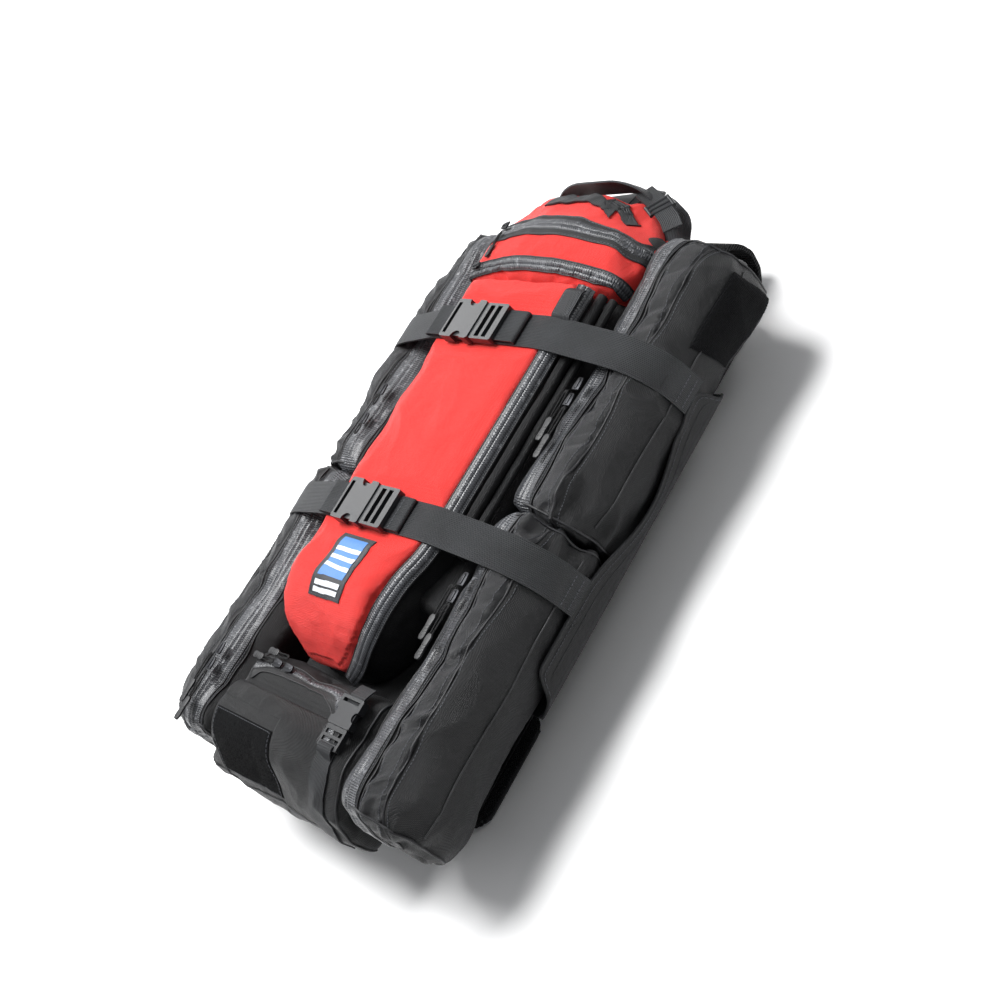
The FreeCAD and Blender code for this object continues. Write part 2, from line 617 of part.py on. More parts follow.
def make_slider(label, lane, pull_length):
    """A zip slider and its pull in their own frame: the coil runs along Y, its top is at Z = 0.

    The slider's middle is at the origin. The pull lies towards -Y in the given lane; with no
    lane it is a short ring in one piece with the slider.
    """
    slider = new_body(f"{label}_slider")
    gap = "running_gap"
    near = "-slider_length / 2 - pull_gap"
    outline = rectangle("slider_left", "-slider_length / 2", "slider_right", "slider_length / 2")
    add_pad(slider, "XY_Plane", [outline], gap, f"{gap} + slider_thickness")
    round_edges(slider, "1.6", lambda edge: runs_along(edge, FreeCAD.Vector(0, 0, 1)))
    if lane == "inner_lane":
        ear = rectangle("inner_lane + 1", "-slider_length / 2", "slider_left + 1", "-slider_length / 2 + 4")
        add_pad(slider, "XY_Plane", [ear], gap, f"{gap} + slider_thickness")
    if not lane:
        ring = rectangle("-2.5", f"-slider_length / 2 - {pull_length}", "3.5", "-slider_length / 2 + 2")
        add_pad(slider, "XY_Plane", [ring], f"{gap} + 0.2", f"{gap} + pull_thickness")
        return [slider]
    pull = new_body(f"{label}_pull")
    shape = rectangle(lane, f"{near} - {pull_length}", f"{lane} + pull_width", near)
    add_pad(pull, "XY_Plane", [shape], f"{gap} + 0.2", f"{gap} + 0.2 + pull_thickness")
    round_edges(pull, "pull_width * 0.45", lambda edge: runs_along(edge, FreeCAD.Vector(0, 0, 1)))
    return [slider, pull]


def make_sliders():
    """Every zip slider, and the pulls that are separate from their sliders."""
    coil_top = size("pod_front_z") + 0.2 + size("tape_thickness") + size("coil_z")
    flat = FreeCAD.Rotation()
    rows = []
    for side, level, spots, lanes, long in (
        ("right", "upper", (100, 82), ("inner_lane", "outer_lane"), "pull_length"),
        ("right", "lower", (-116, -134), ("inner_lane", "outer_lane"), "pull_length"),
        ("left", "upper", (62, 24), (None, None), "ring_length"),
        ("left", "lower", (-262, -280), ("inner_lane", "outer_lane"), "pull_length"),
    ):
        x = size("zip_x") if side == "right" else -size("zip_x") - size("left_shift")
        for letter, y, lane in zip("ab", spots, lanes):
            rows.append((f"{level}_{side}_{letter}", lane, long, (x, y, coil_top), flat, flat))
    across = FreeCAD.Rotation(FreeCAD.Vector(0, 0, 1), -90)
    top = size("pouch_front_z") + 0.2 + size("tape_thickness") + size("coil_z")
    y = size("pouch_zip_y")
    rows.append(("bottom_a", "inner_lane", "bottom_pull_length", (-50, y, top), across, across))
    rows.append(("bottom_b", "outer_lane", "bottom_pull_length", (-70, y, top), across, across))
    radius = size("lid_crown_radius") + 0.2 + size("tape_thickness") + size("coil_z")
    for label, place, angle, lane, long in (("lid", "lid_zip_y", -14.5, "outer_lane", "lid_pull_length"),
                                            ("throat", "throat_zip_y", -17, None, "ring_length / 2")):
        x, z = crown_point(angle, radius)
        lean = FreeCAD.Rotation(FreeCAD.Vector(0, 1, 0), angle)
        turn = lean.multiply(FreeCAD.Rotation(FreeCAD.Vector(0, 0, 1), 90))
        rows.append((label, lane, long, (x, size(place), z), turn, lean))
    spine_x = size("spine_right_x") + 4.4
    rows.append(("spine", None, "ring_length / 2", (spine_x, 178, size("spine_front_z") - 4), flat, flat))
    for label, lane, long, place, turn, pull_turn in rows:
        pieces = make_slider(label, lane, long)
        for piece, kind, rotation in zip(pieces, ("slider", "pull"), (turn, pull_turn)):
            piece.Placement = FreeCAD.Placement(FreeCAD.Vector(*place), rotation)
            node(piece, f"{kind}_{label}")


def write_parts():
    """Check every object, then write one STEP file for each sub-part."""
    doc.recompute()
    for item in doc.Objects:
        if "Invalid" in item.State or "Error" in item.State:
            raise RuntimeError(f"{item.Label} did not compute: {item.State}")
    os.makedirs("parts", exist_ok=True)
    for part in NODES:
        shape = part.Shape
        if shape.isNull() or not shape.isValid() or not shape.Solids:
            raise RuntimeError(f"{part.Label} has no valid solid")
        shape.exportStep(f"parts/{part.Label}.step")
        box = shape.BoundBox
        print(f"{part.Label:28s} {len(shape.Solids)} solids  x {box.XMin:7.1f} {box.XMax:7.1f}"
              f"  y {box.YMin:7.1f} {box.YMax:7.1f}  z {box.ZMin:6.1f} {box.ZMax:6.1f}")
    print(len(NODES), "sub-parts")


make_bag()
make_back()
make_harness()
pod_zips = []
for pod_side in ("right", "left"):
    for pod_level in ("upper", "lower"):
        make_pod(pod_side, pod_level)
        pod_zips.append(make_pod_zip(pod_side, pod_level))
node(group("pod_zips", pod_zips), "pod_zippers")
make_spine()
make_lid()
make_bottom_pouch()
make_straps()
make_buckles()
make_handle()
make_sliders()
write_parts()
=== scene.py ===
"""A long medic's rescue backpack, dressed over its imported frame.

+X is to the pack's right as its front is seen, +Y runs to its top end and +Z out of its front.
The pack lies on its harness side on a pale floor. Every length is in metres.
"""
import json
import logging
import math
import random
from dataclasses import dataclass, field
from enum import Enum
from typing import Callable, Iterable, Optional, Sequence

import bpy
from mathutils import Matrix, Vector, noise
from mathutils.bvhtree import BVHTree

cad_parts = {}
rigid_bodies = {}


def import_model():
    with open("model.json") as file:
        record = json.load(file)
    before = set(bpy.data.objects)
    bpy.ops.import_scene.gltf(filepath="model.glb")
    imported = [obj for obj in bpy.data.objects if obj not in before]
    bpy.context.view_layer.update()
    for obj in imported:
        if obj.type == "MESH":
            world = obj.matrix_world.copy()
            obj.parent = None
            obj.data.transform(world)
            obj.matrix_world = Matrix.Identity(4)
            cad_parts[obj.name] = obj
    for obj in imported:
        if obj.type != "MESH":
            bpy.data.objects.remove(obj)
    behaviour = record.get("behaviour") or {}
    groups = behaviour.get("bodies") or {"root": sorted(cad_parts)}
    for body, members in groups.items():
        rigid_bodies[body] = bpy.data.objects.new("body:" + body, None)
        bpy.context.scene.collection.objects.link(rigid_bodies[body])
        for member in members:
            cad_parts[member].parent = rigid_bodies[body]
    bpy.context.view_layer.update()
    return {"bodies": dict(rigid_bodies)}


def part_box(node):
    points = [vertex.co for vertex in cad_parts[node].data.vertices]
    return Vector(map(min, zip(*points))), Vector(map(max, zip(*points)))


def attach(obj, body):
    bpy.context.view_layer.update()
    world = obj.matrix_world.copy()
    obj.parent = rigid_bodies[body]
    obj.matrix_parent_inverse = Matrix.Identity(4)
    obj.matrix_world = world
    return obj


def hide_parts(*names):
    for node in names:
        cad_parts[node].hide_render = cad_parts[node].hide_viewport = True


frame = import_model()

MM = 0.001
COIL_PITCH = 3.4        # millimetres from one tooth of a zip to the next
CROWN_RADIUS = 325.0    # millimetres, of the lid's crown
Piece = bpy.types.Object
log = logging.getLogger("backpack")


class Side(Enum):
    """Which side of the pack, as its front is seen."""

    RIGHT = "right"
    LEFT = "left"


class Level(Enum):
    """Upper or lower of the two pods or straps on a side."""

    UPPER = "upper"
    LOWER = "lower"


# ---------------------------------------------------------------- small tools


def linear(code: str) -> tuple:
    """Turn an sRGB hex colour into a linear one.

    Args:
        code: six hex digits after a hash.

    Returns:
        Linear red, green, blue and alpha.
    """
    parts = [int(code[i:i + 2], 16) / 255 for i in (1, 3, 5)]
    bent = [p / 12.92 if p <= 0.04045 else ((p + 0.055) / 1.055) ** 2.4 for p in parts]
    return (*bent, 1.0)


def add_node(tree: bpy.types.NodeTree, kind: str, settings: str | dict | None = None,
             **inputs: object) -> bpy.types.Node:
    """Add one shader node with its settings and its links.

    Args:
        tree: the material's node tree.
        kind: the node's type without the ShaderNode prefix.
        settings: attributes set on the node itself, or just its operation.
        inputs: values or output sockets for its inputs; a name such as _1 picks one by its number.

    Returns:
        The new node.
    """
    item = tree.nodes.new("ShaderNode" + kind)
    chosen = {"operation": settings} if isinstance(settings, str) else settings or {}
    for name, value in chosen.items():
        setattr(item, name, value)
    for name, value in inputs.items():
        socket = item.inputs[int(name[1:])] if name[0] == "_" else item.inputs[name.replace("_", " ")]
        if isinstance(value, bpy.types.NodeSocket):
            tree.links.new(value, socket)
        else:
            socket.default_value = value
    return item


def blank_look(name: str, **settings: float) -> tuple:
    """Make a node material and set constants on its shader.

    Args:
        name: the material's name.
        settings: shader inputs by name, with _ for a space.

    Returns:
        The material, its node tree and its shader.
    """
    look = bpy.data.materials.new(name)
    look.use_nodes = True
    shader = look.node_tree.nodes["Principled BSDF"]
    for key, value in settings.items():
        shader.inputs[key.replace("_", " ")].default_value = value
    return look, look.node_tree, shader


def only(piece: Piece) -> None:
    """Make a piece the one selected and active object."""
    bpy.ops.object.select_all(action="DESELECT")
    piece.select_set(True)
    bpy.context.view_layer.objects.active = piece


def apply_all(piece: Piece) -> None:
    """Apply every modifier of a piece in order."""
    only(piece)
    for modifier in list(piece.modifiers):
        bpy.ops.object.modifier_apply(modifier=modifier.name)


def smooth(piece: Piece, degrees: float = 40) -> None:
    """Shade a piece smooth below an angle."""
    only(piece)
    bpy.ops.object.shade_smooth_by_angle(angle=math.radians(degrees))


def ease(low: float, high: float, value: float) -> float:
    """A smooth step from 0 at low to 1 at high."""
    share = min(max((value - low) / (high - low), 0), 1)
    return share * share * (3 - 2 * share)


def extruded(outline: Sequence, axis: str, low: float, high: float, round_by: float = 0.0,
             segments: int = 3) -> Piece:
    """A closed form: an outline extruded along an axis, with its edges rounded, all in millimetres.

    Args:
        outline: (a, b) corners; a, b are (x, z) for axis Y, (y, z) for X and (x, y) for Z.
        axis: the extrusion axis.
        low: where it starts along the axis.
        high: where it ends.
        round_by: bevel width.
        segments: bevel segments.

    Returns:
        The new object.
    """
    start, end = low * MM, high * MM
    bpy.ops.object.select_all(action="DESELECT")
    bpy.ops.mesh.primitive_circle_add(vertices=len(outline), radius=1, fill_type="NGON")
    piece = bpy.context.object
    for vertex, corner in zip(piece.data.vertices, outline):
        a, b = corner[0] * MM, corner[1] * MM
        vertex.co = {"X": (start, a, b), "Y": (a, start, b), "Z": (a, b, start)}[axis]
    shift = [end - start if axis == letter else 0 for letter in "XYZ"]
    bpy.ops.object.mode_set(mode="EDIT")
    bpy.ops.mesh.select_all(action="SELECT")
    bpy.ops.mesh.extrude_region_move(TRANSFORM_OT_translate={"value": shift})
    bpy.ops.mesh.select_all(action="SELECT")
    bpy.ops.mesh.normals_make_consistent(inside=False)
    if round_by:
        bpy.ops.mesh.bevel(offset=round_by * MM, segments=segments, affect="EDGES", clamp_overlap=True)
    bpy.ops.object.mode_set(mode="OBJECT")
    return piece


def remeshed(piece: Piece, voxel: float, relax: int) -> None:
    """Give a closed form an even mesh and relax it.

    Args:
        piece: the closed form.
        voxel: the size of the mesh's cells, in millimetres.
        relax: smoothing passes.
    """
    remesh = piece.modifiers.new("remesh", "REMESH")
    remesh.mode = "VOXEL"
    remesh.voxel_size = voxel * MM
    settle = piece.modifiers.new("settle", "SMOOTH")
    settle.iterations = relax
    settle.factor = 0.5
    apply_all(piece)


def stuff(piece: Piece, voxel: float, pressure: float, cap: float) -> None:
    """Remesh a closed form, swell it as sewn cloth under pressure and subdivide it.

    Args:
        piece: the closed form.
        voxel: remesh size, in millimetres.
        pressure: cloth pressure.
        cap: the furthest that any point may move, in millimetres.
    """
    remeshed(piece, voxel, 4)
    before = [vertex.co.copy() for vertex in piece.data.vertices]
    cloth = piece.modifiers.new("cloth", "CLOTH")
    cloth.settings.quality = 4
    cloth.settings.mass = 0.25
    cloth.settings.tension_stiffness = 18
    cloth.settings.compression_stiffness = 14
    cloth.settings.shear_stiffness = 8
    cloth.settings.bending_stiffness = 0.4
    cloth.settings.use_pressure = True
    cloth.settings.uniform_pressure_force = pressure
    cloth.settings.effector_weights.gravity = 0
    scene = bpy.context.scene
    for number in range(1, 21):
        scene.frame_set(number)
    apply_all(piece)
    scene.frame_set(1)
    for vertex, home in zip(piece.data.vertices, before):
        move = vertex.co - home
        if move.length > cap * MM:
            vertex.co = home + move * (cap * MM / move.length)
    subdivision = piece.modifiers.new("refine", "SUBSURF")
    subdivision.levels = 1
    subdivision.render_levels = 1
    apply_all(piece)


def displace(piece: Piece, height: Callable[[Vector, Vector], float]) -> None:
    """Move each point of a mesh along its normal.

    Args:
        piece: the mesh.
        height: how far, for a place and its normal.
    """
    normals = [vertex.normal.copy() for vertex in piece.data.vertices]
    for vertex, normal in zip(piece.data.vertices, normals):
        vertex.co += normal * height(vertex.co, normal)
    piece.data.update()


def crumple(place: Vector, size: float, seed: float) -> float:
    """Sharp little folds in cloth.

    Args:
        place: where, in metres.
        size: of a fold, in metres.
        seed: shifts the pattern.

    Returns:
        Ridged noise from about -1 to 1.
    """
    spot = Vector((place.x / size + seed, place.y / size - seed, place.z / size + 2 * seed))
    value = 1 - 2 * abs(noise.noise(spot)) * 1.6
    return value * 0.7 + 0.3 * (1 - 2 * abs(noise.noise(spot * 2.1)) * 1.6)


def creased(place: Vector, size: float, seed: float) -> float:
    """Sharp-crested creases about a mean of nought, as thick cloth makes when it is gathered."""
    spot = place / size + Vector((seed, seed * 0.7, -seed))
    return 0.55 - 1.9 * abs(noise.noise(spot)) + 0.35 * noise.noise(spot * 2.1)


def coil_ripple(share: float, length: float) -> float:
    """The ripple of a zip's teeth, from -1 to 1, at a share of its length in millimetres."""
    return math.sin(share * length * 2 * math.pi / COIL_PITCH)


class Skin:
    """The outer surface of a finished soft piece, which other pieces are laid on."""

    def __init__(self, piece: Piece) -> None:
        """Gather the faces of the piece."""
        points = [vertex.co.copy() for vertex in piece.data.vertices]
        self.tree = BVHTree.FromPolygons(points, [list(face.vertices) for face in piece.data.polygons])

    def cast(self, start: Vector, way: Vector) -> Optional[tuple]:
        """The point and normal where a ray meets the skin, or None."""
        spot, normal, _, _ = self.tree.ray_cast(start, way)
        return None if spot is None else (spot, normal)

    def near(self, place: Vector) -> tuple:
        """The nearest point of the skin and its normal."""
        spot, normal, _, _ = self.tree.find_nearest(place)
        return spot, normal


@dataclass(frozen=True)
class Aimed:
    """A skin met along rays towards a line inside it, so that a seam keeps to its own section.

    The line runs along Y from low to high, at the height of depth, in metres.
    """

    skin: Skin
    low: float
    high: float
    depth: float

    def near(self, place: Vector) -> tuple:
        """The point and normal where the skin is met on the way in."""
        heart = Vector((place.x, min(max(place.y, self.low), self.high), self.depth))
        way = (heart - place).normalized()
        return self.skin.cast(place - way * 0.03, way) or self.skin.near(place)


def grid_piece(columns: int, rows: int) -> Piece:
    """A flat grid of the given number of cells, 2 m square, ready to be placed point by point."""
    bpy.ops.object.select_all(action="DESELECT")
    bpy.ops.mesh.primitive_grid_add(x_subdivisions=columns, y_subdivisions=rows, size=2)
    return bpy.context.object


def scale_uv(piece: Piece, width: float, length: float) -> None:
    """Scale a grid's own UV map to real metres, across by along."""
    for corner in piece.data.uv_layers.active.data:
        corner.uv = (corner.uv[0] * width, corner.uv[1] * length)


def thicken(piece: Piece, thickness: float, offset: float = 1.0, round_by: float = 0.0) -> None:
    """Give a sheet its thickness and round its rim.

    Args:
        piece: the sheet.
        thickness: in millimetres.
        offset: 1 adds it outwards and 0 half to each side.
        round_by: bevel width of the rim, in millimetres.
    """
    wall = piece.modifiers.new("wall", "SOLIDIFY")
    wall.thickness = thickness * MM
    wall.offset = offset
    apply_all(piece)
    if round_by:
        soften_edges(piece, round_by, degrees=50)


def lay(skin: Optional["Skin | Aimed"], guide: Callable[[float, float], Vector], cells: tuple, size: tuple,
        thickness: float, lift: Optional[Callable[[float, float], float]] = None) -> Piece:
    """Make a strip of cloth, lying on a skin or held free along its guide.

    Args:
        skin: what it lies on, or None where it is held taut.
        guide: the place for (across, along), each from 0 to 1.
        cells: cells across and along.
        size: its real width and length in millimetres, for its UV map.
        thickness: of the strip, in millimetres.
        lift: the height above the skin for (across, along), in millimetres.

    Returns:
        The strip as a closed piece.
    """
    piece = grid_piece(*cells)
    facing = 0.0
    outwards = {}
    for vertex in piece.data.vertices:
        across = (vertex.co.x + 1) / 2
        along = (vertex.co.y + 1) / 2
        spot = guide(across, along)
        if skin:
            spot, normal = skin.near(spot)
            spot = spot + normal * ((lift(across, along) if lift else 0.3) * MM)
            outwards[vertex.index] = normal
        vertex.co = spot
    scale_uv(piece, size[0] * MM, size[1] * MM)
    piece.data.update()
    for polygon in piece.data.polygons:
        outward = outwards.get(polygon.vertices[0], polygon.center - Vector((0, 0, 0.05)))
        facing += polygon.normal.dot(outward)
    if facing < 0:
        piece.data.flip_normals()
    thicken(piece, thickness)
    smooth(piece, 50)
    return piece


class Route:
    """A bent line through points, with its corners softened."""

    def __init__(self, points: Sequence[Vector], soften: float = 0.02) -> None:
        """Measure the line.

        Args:
            points: its corners, in metres.
            soften: the share of its length that a corner takes.
        """
        self.points = [Vector(point) for point in points]
        steps = [(b - a).length for a, b in zip(self.points, self.points[1:])]
        total = sum(steps)
        self.marks = [sum(steps[:i]) / total for i in range(len(steps) + 1)]
        self.length = total / MM
        self.soften = soften

    def sharp(self, share: float) -> Vector:
        """The place at a share of the length, corners sharp."""
        share = min(max(share, 0.0), 1.0)
        for i in range(len(self.points) - 1):
            if share <= self.marks[i + 1] + 1e-9:
                part = (share - self.marks[i]) / max(self.marks[i + 1] - self.marks[i], 1e-9)
                return self.points[i].lerp(self.points[i + 1], part)
        return self.points[-1].copy()

    def at(self, share: float) -> Vector:
        """The place at a share of the length, corners soft."""
        reach = min(self.soften, share, 1 - share)
        total = Vector((0, 0, 0))
        for step in range(-4, 5):
            total += self.sharp(share + reach * step / 4)
        return total / 9

    def beside(self, share: float, offset: float, reach: float, tilt: float = 0.0) -> Vector:
        """A place to the left of the line, square to its run in plan.

        Args:
            share: of the length.
            offset: how far to the side, in millimetres.
            reach: the share of the length, each way, that gives the run.
            tilt: the rise for each unit to the side.

        Returns:
            The place.
        """
        ahead = (self.at(min(share + reach, 1)) - self.at(max(share - reach, 0))).normalized()
        return self.at(share) + Vector((-ahead.y, ahead.x, tilt)) * (offset * MM)

    def many(self, count: int) -> list:
        """Evenly spread places along the line."""
        return [self.at(i / (count - 1)) for i in range(count)]


def cords(rows: Sequence[Sequence[Vector]], radius: float, closed: bool = False,
          sides: int = 2) -> Piece:
    """Thin round cords in one mesh, one through each row of places.

    Args:
        rows: the places of each cord.
        radius: in millimetres.
        closed: whether each cord is a ring.
        sides: how finely its section is rounded.

    Returns:
        The new mesh object.
    """
    data = bpy.data.curves.new("cords", "CURVE")
    data.dimensions = "3D"
    data.bevel_depth = radius * MM
    data.bevel_resolution = sides
    data.use_fill_caps = True
    for row in rows:
        line = data.splines.new("POLY")
        line.points.add(len(row) - 1)
        for item, point in zip(line.points, row):
            item.co = (*point, 1)
        line.use_cyclic_u = closed
    piece = bpy.data.objects.new("cords", data)
    bpy.context.collection.objects.link(piece)
    only(piece)
    bpy.ops.object.convert(target="MESH")
    bpy.ops.object.shade_smooth()
    return bpy.context.object


def tube(points: Sequence[Vector], radius: float, closed: bool = False, sides: int = 2) -> Piece:
    """One thin round cord through points; its radius is in millimetres."""
    return cords([points], radius, closed, sides)


def dashes(rows: Sequence[Sequence[Vector]], radius: float) -> Piece:
    """Stitches: each row's places become one short round dash, all in one mesh."""
    return cords(rows, radius, sides=1)


def settled(spots: Sequence[Vector], passes: int, closed: bool = False) -> list:
    """Even out the small jumps of a line that was laid on a crumpled skin.

    Args:
        spots: the line's places.
        passes: how often each is averaged with its neighbours.
        closed: whether the line is a ring.

    Returns:
        The new places.
    """
    spots = [spot.copy() for spot in spots]
    last = len(spots) - 1
    for _ in range(passes):
        before = [spot.copy() for spot in spots]
        for i in range(len(spots)):
            if closed or 0 < i < last:
                spots[i] = (before[i - 1] + before[i] * 2 + before[(i + 1) % (last + 1)]) / 4
    return spots


def on_skin(skin: "Skin | Aimed", places: Iterable[Vector], lift: float) -> list:
    """Places moved onto a skin and lifted off it by some millimetres."""
    return [spot + normal * lift * MM for spot, normal in map(skin.near, places)]


def cord_on(skin: "Skin | Aimed", places: Sequence[Vector], lift: float, passes: int, radius: float,
            closed: bool = False) -> Piece:
    """A cord sewn along a skin.

    Args:
        skin: what it lies on.
        places: near its course.
        lift: its height above the skin, in millimetres.
        passes: how often its course is evened out.
        radius: in millimetres.
        closed: whether it is a ring.

    Returns:
        The cord as a mesh.
    """
    return tube(settled(on_skin(skin, places, lift), passes, closed), radius, closed)


def stitched(route: Callable[[float], Vector], length: float, pitch: float = 3.6) -> list:
    """The dashes of one stitch row along a line, as rows of two places.

    Args:
        route: the place for a share of the line.
        length: its length in millimetres.
        pitch: from one stitch to the next, in millimetres.

    Returns:
        Pairs of places; the thread shows for 0.62 of the pitch.
    """
    count = max(int(length / pitch), 2)
    return [[route(i / count), route((i + 0.62) / count)] for i in range(count)]


def stitched_on(skin: "Skin | Aimed", route: Callable[[float], Vector], length: float, lift: float,
                pitch: float = 3.6) -> list:
    """The dashes of one stitch row that lies on a skin, lifted off it by some millimetres."""
    return [on_skin(skin, pair, lift) for pair in stitched(route, length, pitch)]


def joined(pieces: Sequence[Piece]) -> Piece:
    """Join several meshes into one."""
    only(pieces[0])
    for piece in pieces[1:]:
        piece.select_set(True)
    if len(pieces) > 1:
        bpy.ops.object.join()
    return bpy.context.object


def rest_on(piece: Piece, floor: float) -> None:
    """Lift what would sink below a height in millimetres."""
    for vertex in piece.data.vertices:
        vertex.co.z = max(vertex.co.z, floor * MM)


def v(x: float, y: float, z: float) -> Vector:
    """A place given in millimetres."""
    return Vector((x, y, z)) * MM


def limits(node: str) -> tuple:
    """A frame node's lowest and highest corners in millimetres."""
    low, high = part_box(node)
    return Vector(low) / MM, Vector(high) / MM


def shared(first: Piece, second: Piece) -> Piece:
    """Keep only what two closed forms share."""
    cut = first.modifiers.new("cut", "BOOLEAN")
    cut.operation = "INTERSECT"
    cut.solver = "EXACT"
    cut.object = second
    apply_all(first)
    bpy.data.objects.remove(second)
    return first


def soften_edges(piece: Piece, width: float, segments: int = 3, degrees: float = 25) -> None:
    """Round the sharp edges of a closed form.

    Args:
        piece: the form.
        width: bevel width, in millimetres.
        segments: bevel segments.
        degrees: the angle from which an edge is sharp.
    """
    bevel = piece.modifiers.new("soft", "BEVEL")
    bevel.width = width * MM
    bevel.segments = segments
    bevel.limit_method = "ANGLE"
    bevel.angle_limit = math.radians(degrees)
    apply_all(piece)


# ---------------------------------------------------------------- finishes


@dataclass(frozen=True)
class Cloth:
    """Woven nylon: thread relief, an optional ripstop grid, and slow changes of shade."""

    name: str
    light: str
    dark: str
    thread: float
    rough: float
    relief: float
    sheen: float = 0.0
    grid: float = 0.0
    coat: float = 0.0
    mottle: float = 0.35
    shine: float = 0.5

    def material(self) -> bpy.types.Material:
        """The node material, in object coordinates."""
        look, tree, shader = blank_look(self.name, Roughness=self.rough, Specular_IOR_Level=self.shine,
                                        Sheen_Weight=self.sheen, Sheen_Roughness=0.5,
                                        Coat_Weight=self.coat, Coat_Roughness=0.35)
        place = add_node(tree, "TexCoord").outputs["Object"]
        split = add_node(tree, "SeparateXYZ", Vector=place).outputs
        turn = 2 * math.pi / self.thread
        waves = []
        for letter in "XYZ":
            phase = add_node(tree, "Math", "MULTIPLY", _0=split[letter], _1=turn).outputs[0]
            waves.append(add_node(tree, "Math", "SINE", _0=phase).outputs[0])
        pair = add_node(tree, "Math", "MULTIPLY", _0=waves[0], _1=waves[1]).outputs[0]
        weave = add_node(tree, "Math", "MULTIPLY_ADD", _0=waves[2], _1=0.5, _2=pair).outputs[0]
        slub = add_node(tree, "TexNoise", Vector=place, Scale=0.45 / self.thread, Detail=3.0, Roughness=0.6)
        cloudy = add_node(tree, "TexNoise", Vector=place, Scale=16.0, Detail=4.0, Roughness=0.55)
        height = add_node(tree, "Math", "MULTIPLY_ADD", _0=slub.outputs["Fac"], _1=2.4, _2=weave)
        height = height.outputs[0]
        if self.grid:
            lines = []
            for letter in "XY":
                step = add_node(tree, "Math", "PINGPONG", _0=split[letter], _1=self.grid / 2)
                edge = add_node(tree, "Math", "LESS_THAN", _0=step.outputs[0], _1=self.grid * 0.07)
                lines.append(edge.outputs[0])
            either = add_node(tree, "Math", "MAXIMUM", _0=lines[0], _1=lines[1]).outputs[0]
            height = add_node(tree, "Math", "MULTIPLY_ADD", _0=either, _1=2.2, _2=height).outputs[0]
        mixed = add_node(tree, "MixRGB", Fac=0.5, Color1=linear(self.dark),
                         Color2=linear(self.light))
        grain = add_node(tree, "Math", "MULTIPLY_ADD", _0=slub.outputs["Fac"],
                         _1=0.9 - self.mottle, _2=-0.1)
        share = add_node(tree, "Math", {"operation": "MULTIPLY_ADD", "use_clamp": True},
                         _0=cloudy.outputs["Fac"], _1=2 * self.mottle, _2=grain.outputs[0])
        tree.links.new(share.outputs[0], mixed.inputs["Fac"])
        tree.links.new(mixed.outputs[0], shader.inputs["Base Color"])
        bump = add_node(tree, "Bump", Strength=self.relief, Distance=self.thread * 0.35, Height=height)
        tree.links.new(bump.outputs[0], shader.inputs["Normal"])
        return look


@dataclass(frozen=True)
class Strip:
    """A narrow woven strip patterned along its own UV map: webbing, grosgrain or a coated zip tape."""

    name: str
    light: str
    dark: str
    rough: float
    rib: float
    along: bool
    relief: float
    coat: float = 0.0
    coat_rough: float = 0.2
    # strength of the pale painted glints mixed into the colour
    glints: float = 0.0
    shine: float = 0.5

    def material(self) -> bpy.types.Material:
        """The node material; its ribs run along the strip, or across it, with painted shade between the ribs
        and optional painted glints.
        """
        look, tree, shader = blank_look(self.name, Roughness=self.rough, Specular_IOR_Level=self.shine,
                                        Coat_Weight=self.coat, Coat_Roughness=self.coat_rough)
        flat = add_node(tree, "UVMap").outputs[0]
        split = add_node(tree, "SeparateXYZ", Vector=flat).outputs
        turn = 2 * math.pi / self.rib
        main, other = ("X", "Y") if self.along else ("Y", "X")
        phase = add_node(tree, "Math", "MULTIPLY", _0=split[main], _1=turn).outputs[0]
        rib = add_node(tree, "Math", "SINE", _0=phase).outputs[0]
        lean = add_node(tree, "Math", "MULTIPLY_ADD", _0=split[other], _1=turn * 0.8, _2=phase)
        twill = add_node(tree, "Math", "SINE", _0=lean.outputs[0]).outputs[0]
        height = add_node(tree, "Math", "MULTIPLY_ADD", _0=twill, _1=0.5, _2=rib).outputs[0]
        place = add_node(tree, "TexCoord").outputs["Object"]
        specks = add_node(tree, "TexNoise", Vector=place, Scale=190.0, Detail=2.0, Roughness=0.5)
        cloudy = add_node(tree, "TexNoise", Vector=place, Scale=30.0, Detail=3.0)
        # The colour follows the ribs: painted shade darkens the valleys and lightens the crests; the slow
        # cloudy noise on top is random tone.
        share = add_node(tree, "Math", {"operation": "MULTIPLY_ADD", "use_clamp": True}, _0=rib, _1=0.18,
                         _2=cloudy.outputs["Fac"])
        tint = add_node(tree, "MixRGB", Fac=share.outputs[0], Color1=linear(self.dark),
                        Color2=linear(self.light))
        colour = tint.outputs[0]
        # Painted glints: pale flecks where the fine noise passes a threshold are mixed into the base colour
        # as painted highlights.
        if self.glints:
            spark = add_node(tree, "Math", "GREATER_THAN", _0=specks.outputs["Fac"], _1=0.63)
            shine = add_node(tree, "Math", "MULTIPLY", _0=spark.outputs[0], _1=self.glints)
            painted_glint_colour = add_node(tree, "MixRGB", Fac=shine.outputs[0], Color1=colour, Color2=linear("#c9cbd0"))
            colour = painted_glint_colour.outputs[0]
        tree.links.new(colour, shader.inputs["Base Color"])
        total = add_node(tree, "Math", "MULTIPLY_ADD", _0=specks.outputs["Fac"], _1=1.2, _2=height)
        bump = add_node(tree, "Bump", Strength=self.relief, Distance=0.0004, Height=total.outputs[0])
        tree.links.new(bump.outputs[0], shader.inputs["Normal"])
        return look


